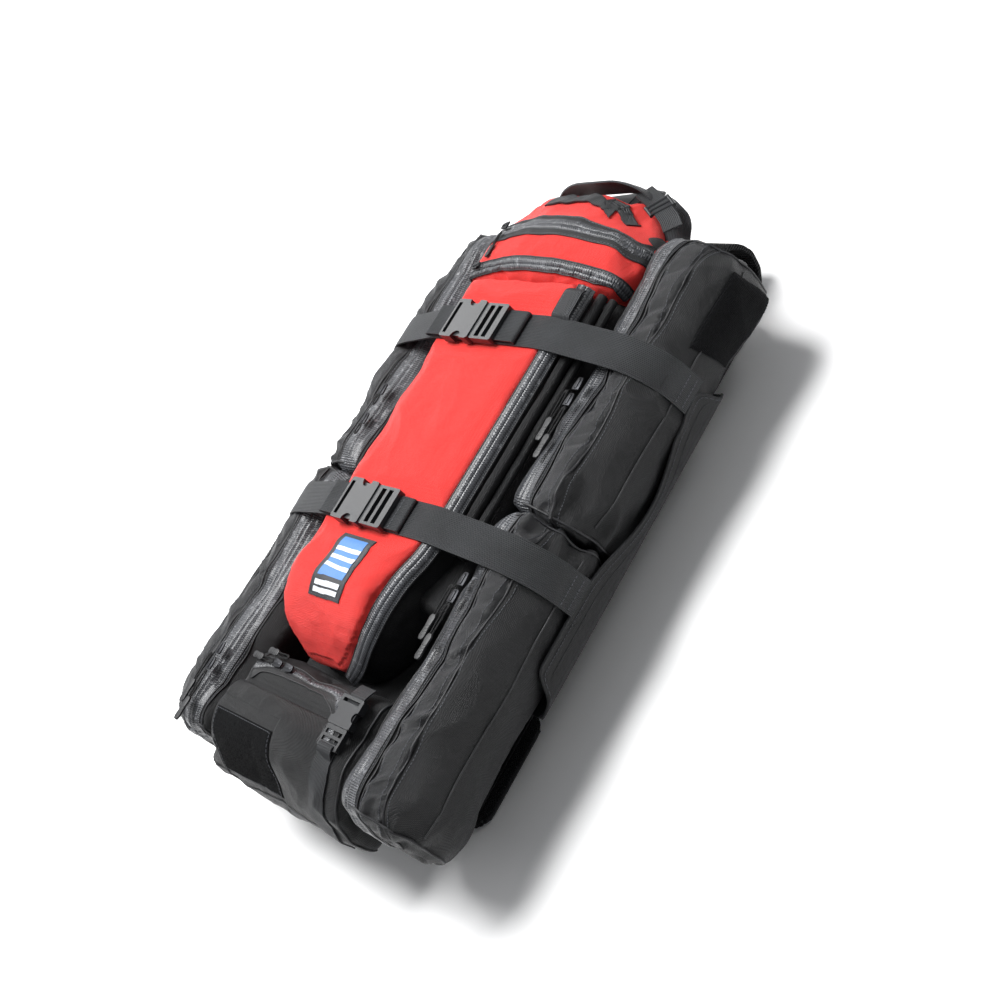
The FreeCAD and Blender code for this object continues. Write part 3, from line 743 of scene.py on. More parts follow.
@dataclass(frozen=True)
class Solid:
    """A moulded, cast or drawn surface with a fine grain and slight changes of roughness."""

    name: str
    light: str
    dark: str
    rough: float
    grain: float
    relief: float
    metallic: float = 0.0
    coat: float = 0.0

    def material(self) -> bpy.types.Material:
        """The node material, in object coordinates."""
        look, tree, shader = blank_look(self.name, Metallic=self.metallic, Coat_Weight=self.coat,
                                        Coat_Roughness=0.25)
        place = add_node(tree, "TexCoord").outputs["Object"]
        fine = add_node(tree, "TexNoise", Vector=place, Scale=1 / self.grain, Detail=3.0, Roughness=0.6)
        slow = add_node(tree, "TexNoise", Vector=place, Scale=60.0, Detail=2.0)
        tint = add_node(tree, "MixRGB", Fac=slow.outputs["Fac"], Color1=linear(self.dark),
                        Color2=linear(self.light))
        tree.links.new(tint.outputs[0], shader.inputs["Base Color"])
        rough = add_node(tree, "Math", "MULTIPLY_ADD", _0=fine.outputs["Fac"], _1=0.2,
                         _2=self.rough - 0.1)
        tree.links.new(rough.outputs[0], shader.inputs["Roughness"])
        bump = add_node(tree, "Bump", Strength=self.relief, Distance=self.grain, Height=fine.outputs["Fac"])
        tree.links.new(bump.outputs[0], shader.inputs["Normal"])
        return look


# ---------------------------------------------------------------- the studio


@dataclass
class Studio:
    """A pale floor, four soft lights and the camera."""

    floor_size: float = 9.0
    eye: tuple = (1.1555, -0.3730, 0.9942)
    forward: tuple = (-0.75695, 0.24979, -0.60384)
    upward: tuple = (-0.14879, 0.8339, 0.53148)
    lens: float = 53.2
    key_power: float = 135.0
    backdrop_power: float = 90.0
    fill_power: float = 7.0
    rim_power: float = 7.0

    def floor(self) -> None:
        """A wide pale floor with the faintest mottling."""
        bpy.ops.object.select_all(action="DESELECT")
        bpy.ops.mesh.primitive_plane_add(size=self.floor_size, location=(0, 0, 0))
        piece = bpy.context.object
        piece.name = "floor"
        paint, tree, shader = blank_look("painted_floor_rolled", Roughness=0.75)
        place = add_node(tree, "TexCoord").outputs["Object"]
        cloudy = add_node(tree, "TexNoise", Vector=place, Scale=3.0, Detail=2.0)
        tint = add_node(tree, "MixRGB", Fac=cloudy.outputs["Fac"], Color1=linear("#f4f4f4"),
                        Color2=linear("#f8f8f8"))
        tree.links.new(tint.outputs[0], shader.inputs["Base Color"])
        piece.data.materials.append(paint)

    def light(self, name: str, place: tuple, aim: tuple, size: float, power: float) -> None:
        """One square area light aimed at a point."""
        bpy.ops.object.select_all(action="DESELECT")
        bpy.ops.object.light_add(type="AREA", location=place)
        lamp = bpy.context.object
        lamp.name = name
        lamp.data.size = size
        lamp.data.energy = power
        lamp.rotation_euler = (Vector(aim) - Vector(place)).to_track_quat("-Z", "Y").to_euler()

    def build(self) -> None:
        """Make the floor, the lights, the sky and the camera."""
        self.floor()
        self.light("key", (-0.75, 0.25, 2.6), (-0.1, 0, 0.1), 1.35, self.key_power)
        self.light("backdrop", (-3.7, 1.5, 2.2), (-3.7, 1.5, 0), 2.4, self.backdrop_power)
        self.light("fill", (1.4, 1.3, 1.4), (0.1, 0.05, 0.1), 0.7, self.fill_power)
        self.light("rim", (-1.7, -0.9, 1.1), (0, 0, 0.1), 1.2, self.rim_power)
        sky = bpy.data.worlds.new("soft_room")
        sky.use_nodes = True
        sky.node_tree.nodes["Background"].inputs["Color"].default_value = linear("#f2f4f8")
        sky.node_tree.nodes["Background"].inputs["Strength"].default_value = 0.26
        bpy.context.scene.world = sky
        bpy.ops.object.select_all(action="DESELECT")
        bpy.ops.object.camera_add(location=self.eye)
        camera = bpy.context.object
        camera.data.lens = self.lens
        camera.data.sensor_width = 36
        forward = Vector(self.forward).normalized()
        right = forward.cross(Vector(self.upward)).normalized()
        up = right.cross(forward)
        camera.rotation_euler = Matrix((right, up, -forward)).transposed().to_euler()
        camera.data.clip_start = 0.05
        bpy.context.scene.camera = camera
        bpy.context.scene.view_settings.view_transform = "Standard"


# ---------------------------------------------------------------- the finishes of this pack


@dataclass
class Finishes:
    """Every material of the pack, made once."""

    looks: dict = field(default_factory=dict)

    def build(self) -> None:
        """Make each finish's material."""
        for key, finish in {
            # woven, coated nylon: a coarse dull black weave with a faint haze of fuzz
            "cordura": Cloth("cordura_nylon_woven_coated", "#17181a", "#070708", 0.0012, 0.5, 0.6, sheen=0.02,
                             shine=0.36),
            # finer ripstop nylon: thin raised squares in a slightly shinier black
            "black_ripstop": Cloth("ripstop_nylon_woven_black", "#232427", "#0c0c0e", 0.0009, 0.42, 0.6,
                                   sheen=0.02, grid=0.006, shine=0.6),
            # dyed ripstop nylon: bright warm red with a satin face and raised squares
            "red_ripstop": Cloth("ripstop_nylon_woven_red", "#e9332c", "#cf1f1a", 0.0009, 0.48, 0.7,
                                 sheen=0.06, grid=0.0055, mottle=0.25, shine=0.4),
            # knitted spacer mesh: soft, matt, with open cells
            "mesh": Cloth("spacer_mesh_knitted", "#17181a", "#050505", 0.0032, 0.85, 1.0, sheen=0.04,
                          shine=0.2),
            # flat woven nylon webbing: ribs along it, with painted grey highlights on their crests and
            # painted shade between them
            "webbing": Strip("nylon_webbing_woven", "#333538", "#141517", 0.52, 0.0017, True, 0.9,
                             shine=0.45),
            # narrow grosgrain: ribs across it, matt
            "grosgrain": Strip("grosgrain_tape_woven", "#1f2022", "#0c0c0e", 0.6, 0.0012, False, 0.6),
            # polyurethane-faced zip tape: wet-looking ribs with pale painted glints in its colour
            "zip_face": Strip("zip_tape_coated", "#505257", "#0e0f11", 0.42, 0.0024, False, 0.8, coat=0.28,
                              coat_rough=0.2, glints=0.16),
            # nylon coil: shiny black ridges with pale painted glints in their colour
            "coil": Strip("nylon_coil_drawn", "#55575c", "#111214", 0.36, 0.0024, False, 0.6, coat=0.45,
                          glints=0.14),
            # bonded polyester thread: grey, slightly shiny
            "thread": Solid("polyester_thread_bonded", "#5d6066", "#34363b", 0.5, 0.0006, 0.3),
            # black piping cord under cloth
            "piping": Solid("nylon_piping_sewn", "#232427", "#0e0e10", 0.5, 0.0012, 0.5),
            # moulded acetal: smooth dark grey with a faint sheen
            "acetal": Solid("acetal_moulded", "#26282b", "#151618", 0.36, 0.0008, 0.12, coat=0.2),
            # die-cast zinc, lacquered black
            "slider": Solid("zinc_cast_lacquered", "#303135", "#131416", 0.42, 0.0005, 0.15, metallic=0.7),
            # moulded nylon pull tabs: mid grey and matt
            "pull": Solid("nylon_pull_moulded", "#1f2022", "#101113", 0.48, 0.0007, 0.2),
            # braided cord of the pulls
            "cord": Strip("nylon_cord_braided", "#1d1e20", "#060607", 0.5, 0.0012, False, 0.8),
            # polyethylene sheet, rolled smooth
            "sheet": Solid("polyethylene_rolled", "#1b1c1e", "#111213", 0.4, 0.001, 0.15),
            # aluminium bar, mill finish
            "alloy": Solid("aluminium_rolled", "#c9cbcf", "#a9acb1", 0.38, 0.0006, 0.2, metallic=1.0),
            # loop pile: dense matt fuzz
            "pile": Cloth("loop_pile_knitted", "#161719", "#060607", 0.0016, 0.95, 1.0, sheen=0.02,
                          shine=0.1),
            # woven label, satin weave
            "label_ground": Cloth("label_satin_woven_grey", "#26292e", "#1b1d21", 0.0005, 0.5, 0.3),
            "label_blue": Cloth("label_satin_woven_blue", "#4a7fbe", "#3a6cab", 0.0005, 0.45, 0.3),
            "label_white": Cloth("label_satin_woven_white", "#dfe3e8", "#c3c9d1", 0.0005, 0.5, 0.3),
        }.items():
            self.looks[key] = finish.material()

    def dress(self, piece: Piece, name: str, look: str, slot: str, stands_for: Iterable[str] = (),
              body: str = "pack") -> None:
        """Name a finished piece, give it its material and let it ride.

        Args:
            piece: the finished mesh object.
            name: its name.
            look: the finish's key.
            slot: the record's material slot; not used.
            stands_for: frame nodes that it replaces.
            body: the frame body that it moves with.
        """
        piece.name = name
        piece.data.name = name
        piece.data.materials.clear()
        piece.data.materials.append(self.looks[look])
        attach(piece, body)
        if stands_for:
            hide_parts(*stands_for)
        log.info("%s: %d faces on %s", name, len(piece.data.polygons), body)

    def keep(self, node: str, look: str) -> None:
        """Leave a frame node showing, in a better material."""
        piece = bpy.data.objects[node]
        for slot in piece.material_slots:
            slot.material = self.looks[look]
        if not piece.material_slots:
            piece.data.materials.append(self.looks[look])


def paint(piece: Piece, look: bpy.types.Material, test: Callable[[Vector, Vector], bool]) -> None:
    """Give a second material to the faces whose centre and normal pass a test."""
    piece.data.materials.append(look)
    number = len(piece.data.materials) - 1
    for polygon in piece.data.polygons:
        if test(polygon.center, polygon.normal):
            polygon.material_index = number


# ---------------------------------------------------------------- compression straps


@dataclass
class Assembly:
    """A sub-assembly of the pack, dressed in the pack's finishes."""

    looks: Finishes


@dataclass
class Compression(Assembly):
    """One compression strap over the pods and the spine panel, with its buckle's folds."""

    level: Level
    width: float = 38.0
    thickness: float = 1.9
    underside: list = field(default_factory=list)
    middle: float = 0.0

    def measure(self) -> None:
        """Read the strap's line from the frame: its pods' sections and the spine panel's top."""
        high = limits("upper_right_pod")[1]
        left = limits("upper_left_pod")[0]
        spine_low, spine_high = limits("spine_front_panel")
        upper = self.level is Level.UPPER
        strap_low, strap_high = limits("upper_strap_tail" if upper else "lower_buckle_socket")
        self.middle = (strap_low.y + strap_high.y) / 2
        outer, front = high.x, high.z
        right = [(outer + 1.2, front - 64.4), (outer - 5.8, front - 30.8), (outer - 30.2, front - 6),
                 (outer - 53, front + 2.6), (spine_high.x + 0.5, spine_high.z + 0.4)]
        outer = left.x
        far = [(outer - 1.2, front - 64.4), (outer + 5.8, front - 30.8), (outer + 30.2, front - 6),
               (outer + 53, front + 2.6), (spine_low.x - 0.5, spine_high.z + 0.4)]
        self.underside = right + far[::-1]

    def height(self, x: float, z: float) -> tuple:
        """How far a point stands outside the strap's underside, with the outward direction.

        Args:
            x, z: the point, in millimetres.

        Returns:
            The distance in millimetres, and the direction's x and z.
        """
        best = (1e9, 0.0, (0.0, 1.0))
        for (ax, az), (bx, bz) in zip(self.underside, self.underside[1:]):
            dx, dz = bx - ax, bz - az
            share = min(max(((x - ax) * dx + (z - az) * dz) / (dx * dx + dz * dz), 0), 1)
            px, pz = ax + dx * share, az + dz * share
            gap = math.hypot(x - px, z - pz)
            size = math.hypot(dx, dz)
            way = (dz / size, -dx / size)
            if gap < best[0]:
                best = (gap, (x - px) * way[0] + (z - pz) * way[1], way)
        return best[1], best[2]

    def press(self, piece: Piece) -> None:
        """Push a stuffed piece in where the strap crosses it."""
        for vertex in piece.data.vertices:
            away = max(abs(vertex.co.y / MM - self.middle) - self.width / 2, 0)
            if away > 45 or vertex.co.z < 0.1:
                continue
            out, way = self.height(vertex.co.x / MM, vertex.co.z / MM)
            allowed = -0.7 + 9 * (away / 30) ** 1.5
            if out > allowed:
                push = min(out - allowed, 15) * MM
                vertex.co.x -= way[0] * push
                vertex.co.z -= way[1] * push
        piece.data.update()

    def build(self) -> None:
        """Lay the webbing, its stitched ends and the folds at the buckle."""
        name = self.level.value
        upper = self.level is Level.UPPER
        route = Route([v(x, self.middle, z) for x, z in self.underside], 0.03)

        def guide(across: float, along: float) -> Vector:
            """The webbing's place, its edges turned down a little."""
            edge = 0.35 * abs(2 * across - 1) ** 6
            return route.at(along) + v(0, (across - 0.5) * self.width, -edge)

        web = lay(None, guide, (12, 220), (self.width, route.length), self.thickness)
        socket = limits(f"{name}_buckle_socket")[0]
        top = socket.z + 0.2
        loop = self.fold(socket.x - 3, socket.x - 34, top + 1.2, socket.x + 5, 0.8)
        self.looks.dress(joined([web, loop]), f"{name}_compression_webbing", "webbing", "webbing",
                     [f"{name}_compression_strap"])
        rows = []
        for end in (0.012, 0.03, 0.97, 0.988):
            normal = Vector((1 if end < 0.5 else -1, 0, 0.15)).normalized() * (self.thickness + 0.1) * MM
            spot = route.at(end)
            rows += stitched(lambda t, s=spot, n=normal: s + n + v(0, (t - 0.5) * (self.width - 6), 0),
                             self.width - 6)
        self.looks.dress(dashes(rows, 0.42), f"{name}_strap_bartacks", "thread", "webbing")
        plug = limits(f"{name}_buckle_plug")[1].x
        long, base, gap = (28, 1.4, 0.9) if upper else (20, 0.9, 0.6)
        tail = self.fold(plug - 9, plug + long, top + base, plug - 14, gap)
        self.looks.dress(tail, f"{name}_strap_tail", "webbing", "webbing",
                     ["upper_strap_tail"] if upper else [], f"{name}_plug")
        rows = []
        for x in (plug + 6, plug + 22) if upper else (plug + 6,):
            rows += stitched(lambda t, x=x: v(x, self.middle + (t - 0.5) * (self.width - 5), top + 4.1),
                             self.width - 5)
        self.looks.dress(dashes(rows, 0.4), f"{name}_tail_stitches", "thread", "webbing", body=f"{name}_plug")

    def fold(self, start: float, end: float, base: float, dip: float, gap: float) -> Piece:
        """Two layers of webbing that meet in a rounded bend, in millimetres.

        Args:
            start: x where the layers leave the buckle.
            end: x of the bend.
            base: height of the fold's middle.
            dip: x inside the buckle where the layers meet.
            gap: half the space between the layers.

        Returns:
            The folded strip.
        """
        way = 1 if end > start else -1
        lower, upper = base - gap, base + gap + 1.0
        corners = ((dip, base - 1), (start, lower), (end - way, lower), (end, (lower + upper) / 2),
                   (end - way, upper), (start, upper + 0.3), (dip, base + 1))
        route = Route([v(x, self.middle, z) for x, z in corners], 0.03)
        wide = self.width - 1.2
        return lay(None, lambda across, along: route.at(along) + v(0, (across - 0.5) * wide, 0), (8, 60),
                   (wide, route.length), 1.5)


# ---------------------------------------------------------------- bag body, pods and pouches


@dataclass
class MainBag(Assembly):
    """The main compartment behind the pods, an upside-down T in section."""

    voxel: float = 7.0
    swell: float = 6.0

    def build(self) -> None:
        """Stuff the bag and sew its seams."""
        low, high = limits("main_bag")
        inner = limits("upper_right_pod")[0].x - 5
        step = limits("upper_right_pod")[0].z - 3
        y0, y1 = low.y + 4, high.y - 4
        half = high.x - 4
        base = extruded([(-half + 8, low.z + 2), (half - 8, low.z + 2), (half, step), (-half, step)],
                        "Y", y0, y1, 6)
        stem = extruded([(-inner, step - 9), (inner, step - 9), (inner, high.z - 3), (-inner, high.z - 3)],
                        "Y", -150, y1, 6)
        toe = extruded([(-inner, step - 9), (inner, step - 9), (inner, 97), (-inner, 97)], "Y", y0, -140, 6)
        bag = joined([base, stem, toe])
        stuff(bag, self.voxel, 4, self.swell)
        displace(bag, lambda p, n: (0.7 * crumple(p, 0.045, 3.1) + 0.3 * crumple(p, 0.018, 8.2)) * MM)
        rest_on(bag, low.z)
        smooth(bag, 60)
        self.looks.dress(bag, "main_compartment", "cordura", "black_cordura", ["main_bag"])
        skin = Skin(bag)
        loops = []
        for z in (24, step - 5):
            corners = [v(-half, y0, z), v(half, y0, z), v(half, y1, z), v(-half, y1, z)]
            line = Route(corners + corners[:1], 0.01).many(260)
            loops.append(tube(on_skin(skin, line[:-1], 0), 1.3, closed=True))
        self.looks.dress(joined(loops), "main_seam_piping", "piping", "black_cordura")


# a pod's section without its first corner: millimetres out from the inner face, and up
POD_SECTION = ((2, 95), (10, 107), (41, 107), (62, 98), (85, 74), (91, 46), (91, 20), (79, 4))


@dataclass
class Pod(Assembly):
    """One stuffed side pod with its shoulder seams, zip and end panels."""

    side: Side
    level: Level
    seed: float
    voxel: float = 4.6
    swell: float = 9.0
    inset: float = 3.0
    seam_a: float = 42.0
    seam_b: float = 64.0
    end_round: float = 42.0
    skin: Optional[Skin] = None
    aimed: Optional[Aimed] = None

    @property
    def name(self) -> str:
        """The pod's name in the frame."""
        return f"{self.level.value}_{self.side.value}_pod"

    def across(self, share: float) -> float:
        """The x of a distance from the pod's inner face."""
        low, high = limits(self.name)
        return low.x + share if self.side is Side.RIGHT else high.x - share

    def meeting(self, y: float) -> bool:
        """Whether a place is nearer the end that meets the other pod on this side."""
        low, high = limits(self.name)
        return (y < (low.y + high.y) / 2) == (self.level is Level.UPPER)

    def build(self, straps: Sequence[Compression]) -> None:
        """Stuff the pod, press the straps in, wrinkle it and sew it.

        Args:
            straps: the straps that cross it.
        """
        low, high = limits(self.name)
        outline = [(self.across(a), low.z + z) for a, z in ((3, 3), *POD_SECTION)]
        low_inset, high_inset = (-1, self.inset) if self.level is Level.UPPER else (self.inset, -1)
        pod = extruded(outline, "Y", low.y + low_inset, high.y - high_inset, 9)
        stuff(pod, self.voxel, 6, self.swell)
        inner = self.across(0)
        front = high.z * MM
        sign = 1 if self.side is Side.RIGHT else -1

        def relief(place: Vector, normal: Vector) -> float:
            """The creases' height, more near the ends and straps and less under the zip."""
            from_end = min(place.y / MM - low.y, high.y - place.y / MM)
            near_end = 1 - ease(0, 75, from_end)
            share = abs(place.x / MM - inner)
            near_strap = max(1 - abs(place.y / MM - strap.middle) / 62 for strap in straps)
            calm = 0.25 if 8 < share < 38 and place.z > front - 0.02 else 1.0
            height = 1.1 * crumple(place, 0.075, self.seed) + 0.5 * crumple(place, 0.03, self.seed + 5)
            gather = Vector((place.x * 1.5, place.y * 0.55, place.z * 1.5))
            end_folds = 10 if self.meeting(place.y / MM) else 5
            height += end_folds * near_end * creased(gather, 0.04, self.seed + 2)
            height += 6 * max(near_strap, 0) * creased(place, 0.06, self.seed + 9)
            height += 5.5 * creased(Vector((place.x, place.y * 0.8, place.z)), 0.085, self.seed + 13)
            height *= calm
            if place.z > front - 0.05 and share > 20:
                height -= 2.2 * math.exp(-((share - self.seam_a) / 3.2) ** 2)
                height -= 2.2 * math.exp(-((share - self.seam_b) / 3.2) ** 2)
                if self.seam_a < share < self.seam_b:
                    slant = Vector(((place.x + place.y) * 0.35, (place.y - place.x * sign) * 1.3,
                                    place.z * 0.4))
                    height += 4.2 * creased(slant, 0.026, self.seed + 4)
            return height * MM

        displace(pod, relief)
        for vertex in pod.data.vertices:
            from_end = min(vertex.co.y / MM - low.y, high.y - vertex.co.y / MM)
            droop = (1 - ease(0, self.end_round, from_end)) ** 2
            share = abs(vertex.co.x / MM - inner)
            depth = (vertex.co.z / MM - low.z) / (high.z - low.z)
            droop *= 0.45 if self.meeting(vertex.co.y / MM) else 1.0
            vertex.co.z -= 9 * droop * ease(0.4, 1, depth) * MM
            vertex.co.x -= math.copysign(9 * droop * ease(45, 95, share) * MM, inner)
            if 4 < share < 42:
                ceiling = front - 0.2 * MM - 9 * droop * MM
                vertex.co.z = min(vertex.co.z, ceiling)
            vertex.co.y = min(max(vertex.co.y, (low.y - 3.2) * MM), (high.y + 3.2) * MM)
        for strap in straps:
            strap.press(pod)
        smooth(pod, 70)
        self.looks.dress(pod, f"{self.name}_stuffed", "cordura", "black_cordura", [self.name])
        paint(pod, self.looks.looks["black_ripstop"], lambda place, normal: place.z > front - 0.06
              and self.seam_a < abs(place.x / MM - inner) < self.seam_b)
        self.skin = Skin(pod)
        self.aimed = Aimed(self.skin, (low.y + 42) * MM, (high.y - 42) * MM, (high.z - 45) * MM)
        self.sew()

    def round_end(self, share: float, depth: float) -> Route:
        """A line along the pod's front, down both end faces, in millimetres.

        Args:
            share: its distance from the pod's inner face.
            depth: how far down the end faces it runs.

        Returns:
            The line.
        """
        low, high = limits(self.name)
        x = self.across(share)
        top = high.z + 1
        return Route([v(x, low.y - 3, top - depth), v(x, low.y - 1, top - 22), v(x, low.y + 10, top - 6),
                      v(x, low.y + 34, top), v(x, high.y - 34, top), v(x, high.y - 10, top - 6),
                      v(x, high.y + 1, top - 22), v(x, high.y + 3, top - depth)], 0.012)

    def sew(self) -> None:
        """Lay the pod's seams, piping and stitches on it."""
        low, high = limits(self.name)
        seams = []
        rows = []
        for share in (self.seam_a, self.seam_b):
            seams.append(cord_on(self.aimed, self.round_end(share, 60).many(150), 0.2, 4, 1.05))
            for shift in (-4.2, 4.2):
                edge = self.round_end(share + shift, 30)
                rows += stitched_on(self.aimed, edge.at, edge.length, 0.15)
        side = [v(self.across(94), y, low.z + 62) for y in (low.y + 12, high.y - 12)]
        seams.append(cord_on(self.skin, Route(side, 0.01).many(80), 0.4, 5, 0.9))
        for y in (low.y, high.y):
            ring = [v(self.across(a), y, low.z + z) for a, z in ((4, 6), *POD_SECTION)]
            spots = Route(ring + ring[:1], 0.02).many(120)[:-1]
            seams.append(cord_on(self.skin, spots, 0.4, 6, 1.3, closed=True))
        self.looks.dress(joined(seams), f"{self.name}_seams", "piping", "black_cordura")
        self.looks.dress(dashes(rows, 0.32), f"{self.name}_stitches", "thread", "black_cordura")

    def side_panel(self) -> None:
        """The loop panel that wraps the pod's outer side near its top end."""
        low, high = limits(self.name)
        sign = 1 if self.side is Side.RIGHT else -1
        line = Route([v(self.across(88), 0, low.z + 74), v(self.across(95), 0, low.z + 50),
                      v(self.across(96), 0, low.z + 14)], 0.06)

        def guide(a: float, t: float) -> Vector:
            """The panel's place; its ends lean with the pod's curve."""
            return line.at(a) + v(sign * 2, high.y - 112 + 88 * t + 16 * a, 0)

        def pile(a: float, t: float) -> float:
            """The loops' uneven height, sinking to the bound rim."""
            fuzz = 0.9 + 0.6 * noise.noise(Vector((a * 40, t * 60, 3)))
            return 0.4 + fuzz * ease(0, 0.05, min(a, 1 - a, t, 1 - t))

        panel = lay(self.skin, guide, (54, 80), (62, 92), 0.7, pile)
        self.looks.dress(panel, f"{self.name}_loop_panel", "pile", "loop_pile")

    def zip(self) -> list:
        """Lay the pod's zip round both ends.

        Returns:
            Its tape, its coated face, its edge cords and its stitches.
        """
        line = self.round_end(23.0, 78)
        sign = 1 if self.side is Side.RIGHT else -1

        def shifted(shift: float) -> Callable[[float], Vector]:
            """The zip's line moved outwards by some millimetres."""
            return lambda t: line.at(t) + v(sign * shift, 0, 0)

        def raised(a: float, t: float) -> float:
            """The height of the face: two lips with the coil's ripple between them."""
            lip = max(1 - abs(abs(a - 0.5) - 0.11) / 0.11, 0)
            return 0.7 + 1.1 * lip ** 0.6 + 0.12 * coil_ripple(t, line.length) * (abs(a - 0.5) < 0.25)

        tape = lay(self.aimed, lambda a, t: shifted((a - 0.5) * 33)(t), (10, 200), (33, line.length), 0.7,
                   lambda a, t: 0.25)
        face = lay(self.aimed, lambda a, t: shifted((a - 0.5) * 25)(t), (20, 400), (25, line.length), 0.5,
                   raised)
        edges = [cord_on(self.aimed, [shifted(shift)(i / 169) for i in range(170)], 1.2, 4, 0.6)
                 for shift in (-16, -12.6, 12.6, 16)]
        rows = []
        for shift in (-14.3, 14.3):
            rows += stitched_on(self.aimed, shifted(shift), line.length, 1.1)
        return [tape, face, joined(edges), dashes(rows, 0.34)]


@dataclass
class PodZips(Assembly):
    """The four pods' zips, which share one frame node."""

    def build(self, pods: Sequence[Pod]) -> None:
        """Lay all four and join them by finish.

        Args:
            pods: the four pods.
        """
        sets = [pod.zip() for pod in pods]
        parts = (("tapes", "grosgrain"), ("faces", "zip_face"), ("edges", "piping"), ("stitches", "thread"))
        for number, (name, look) in enumerate(parts):
            piece = joined([made[number] for made in sets])
            self.looks.dress(piece, f"pod_zip_{name}", look, "zipper",
                         ["pod_zippers"] if number == 0 else [])


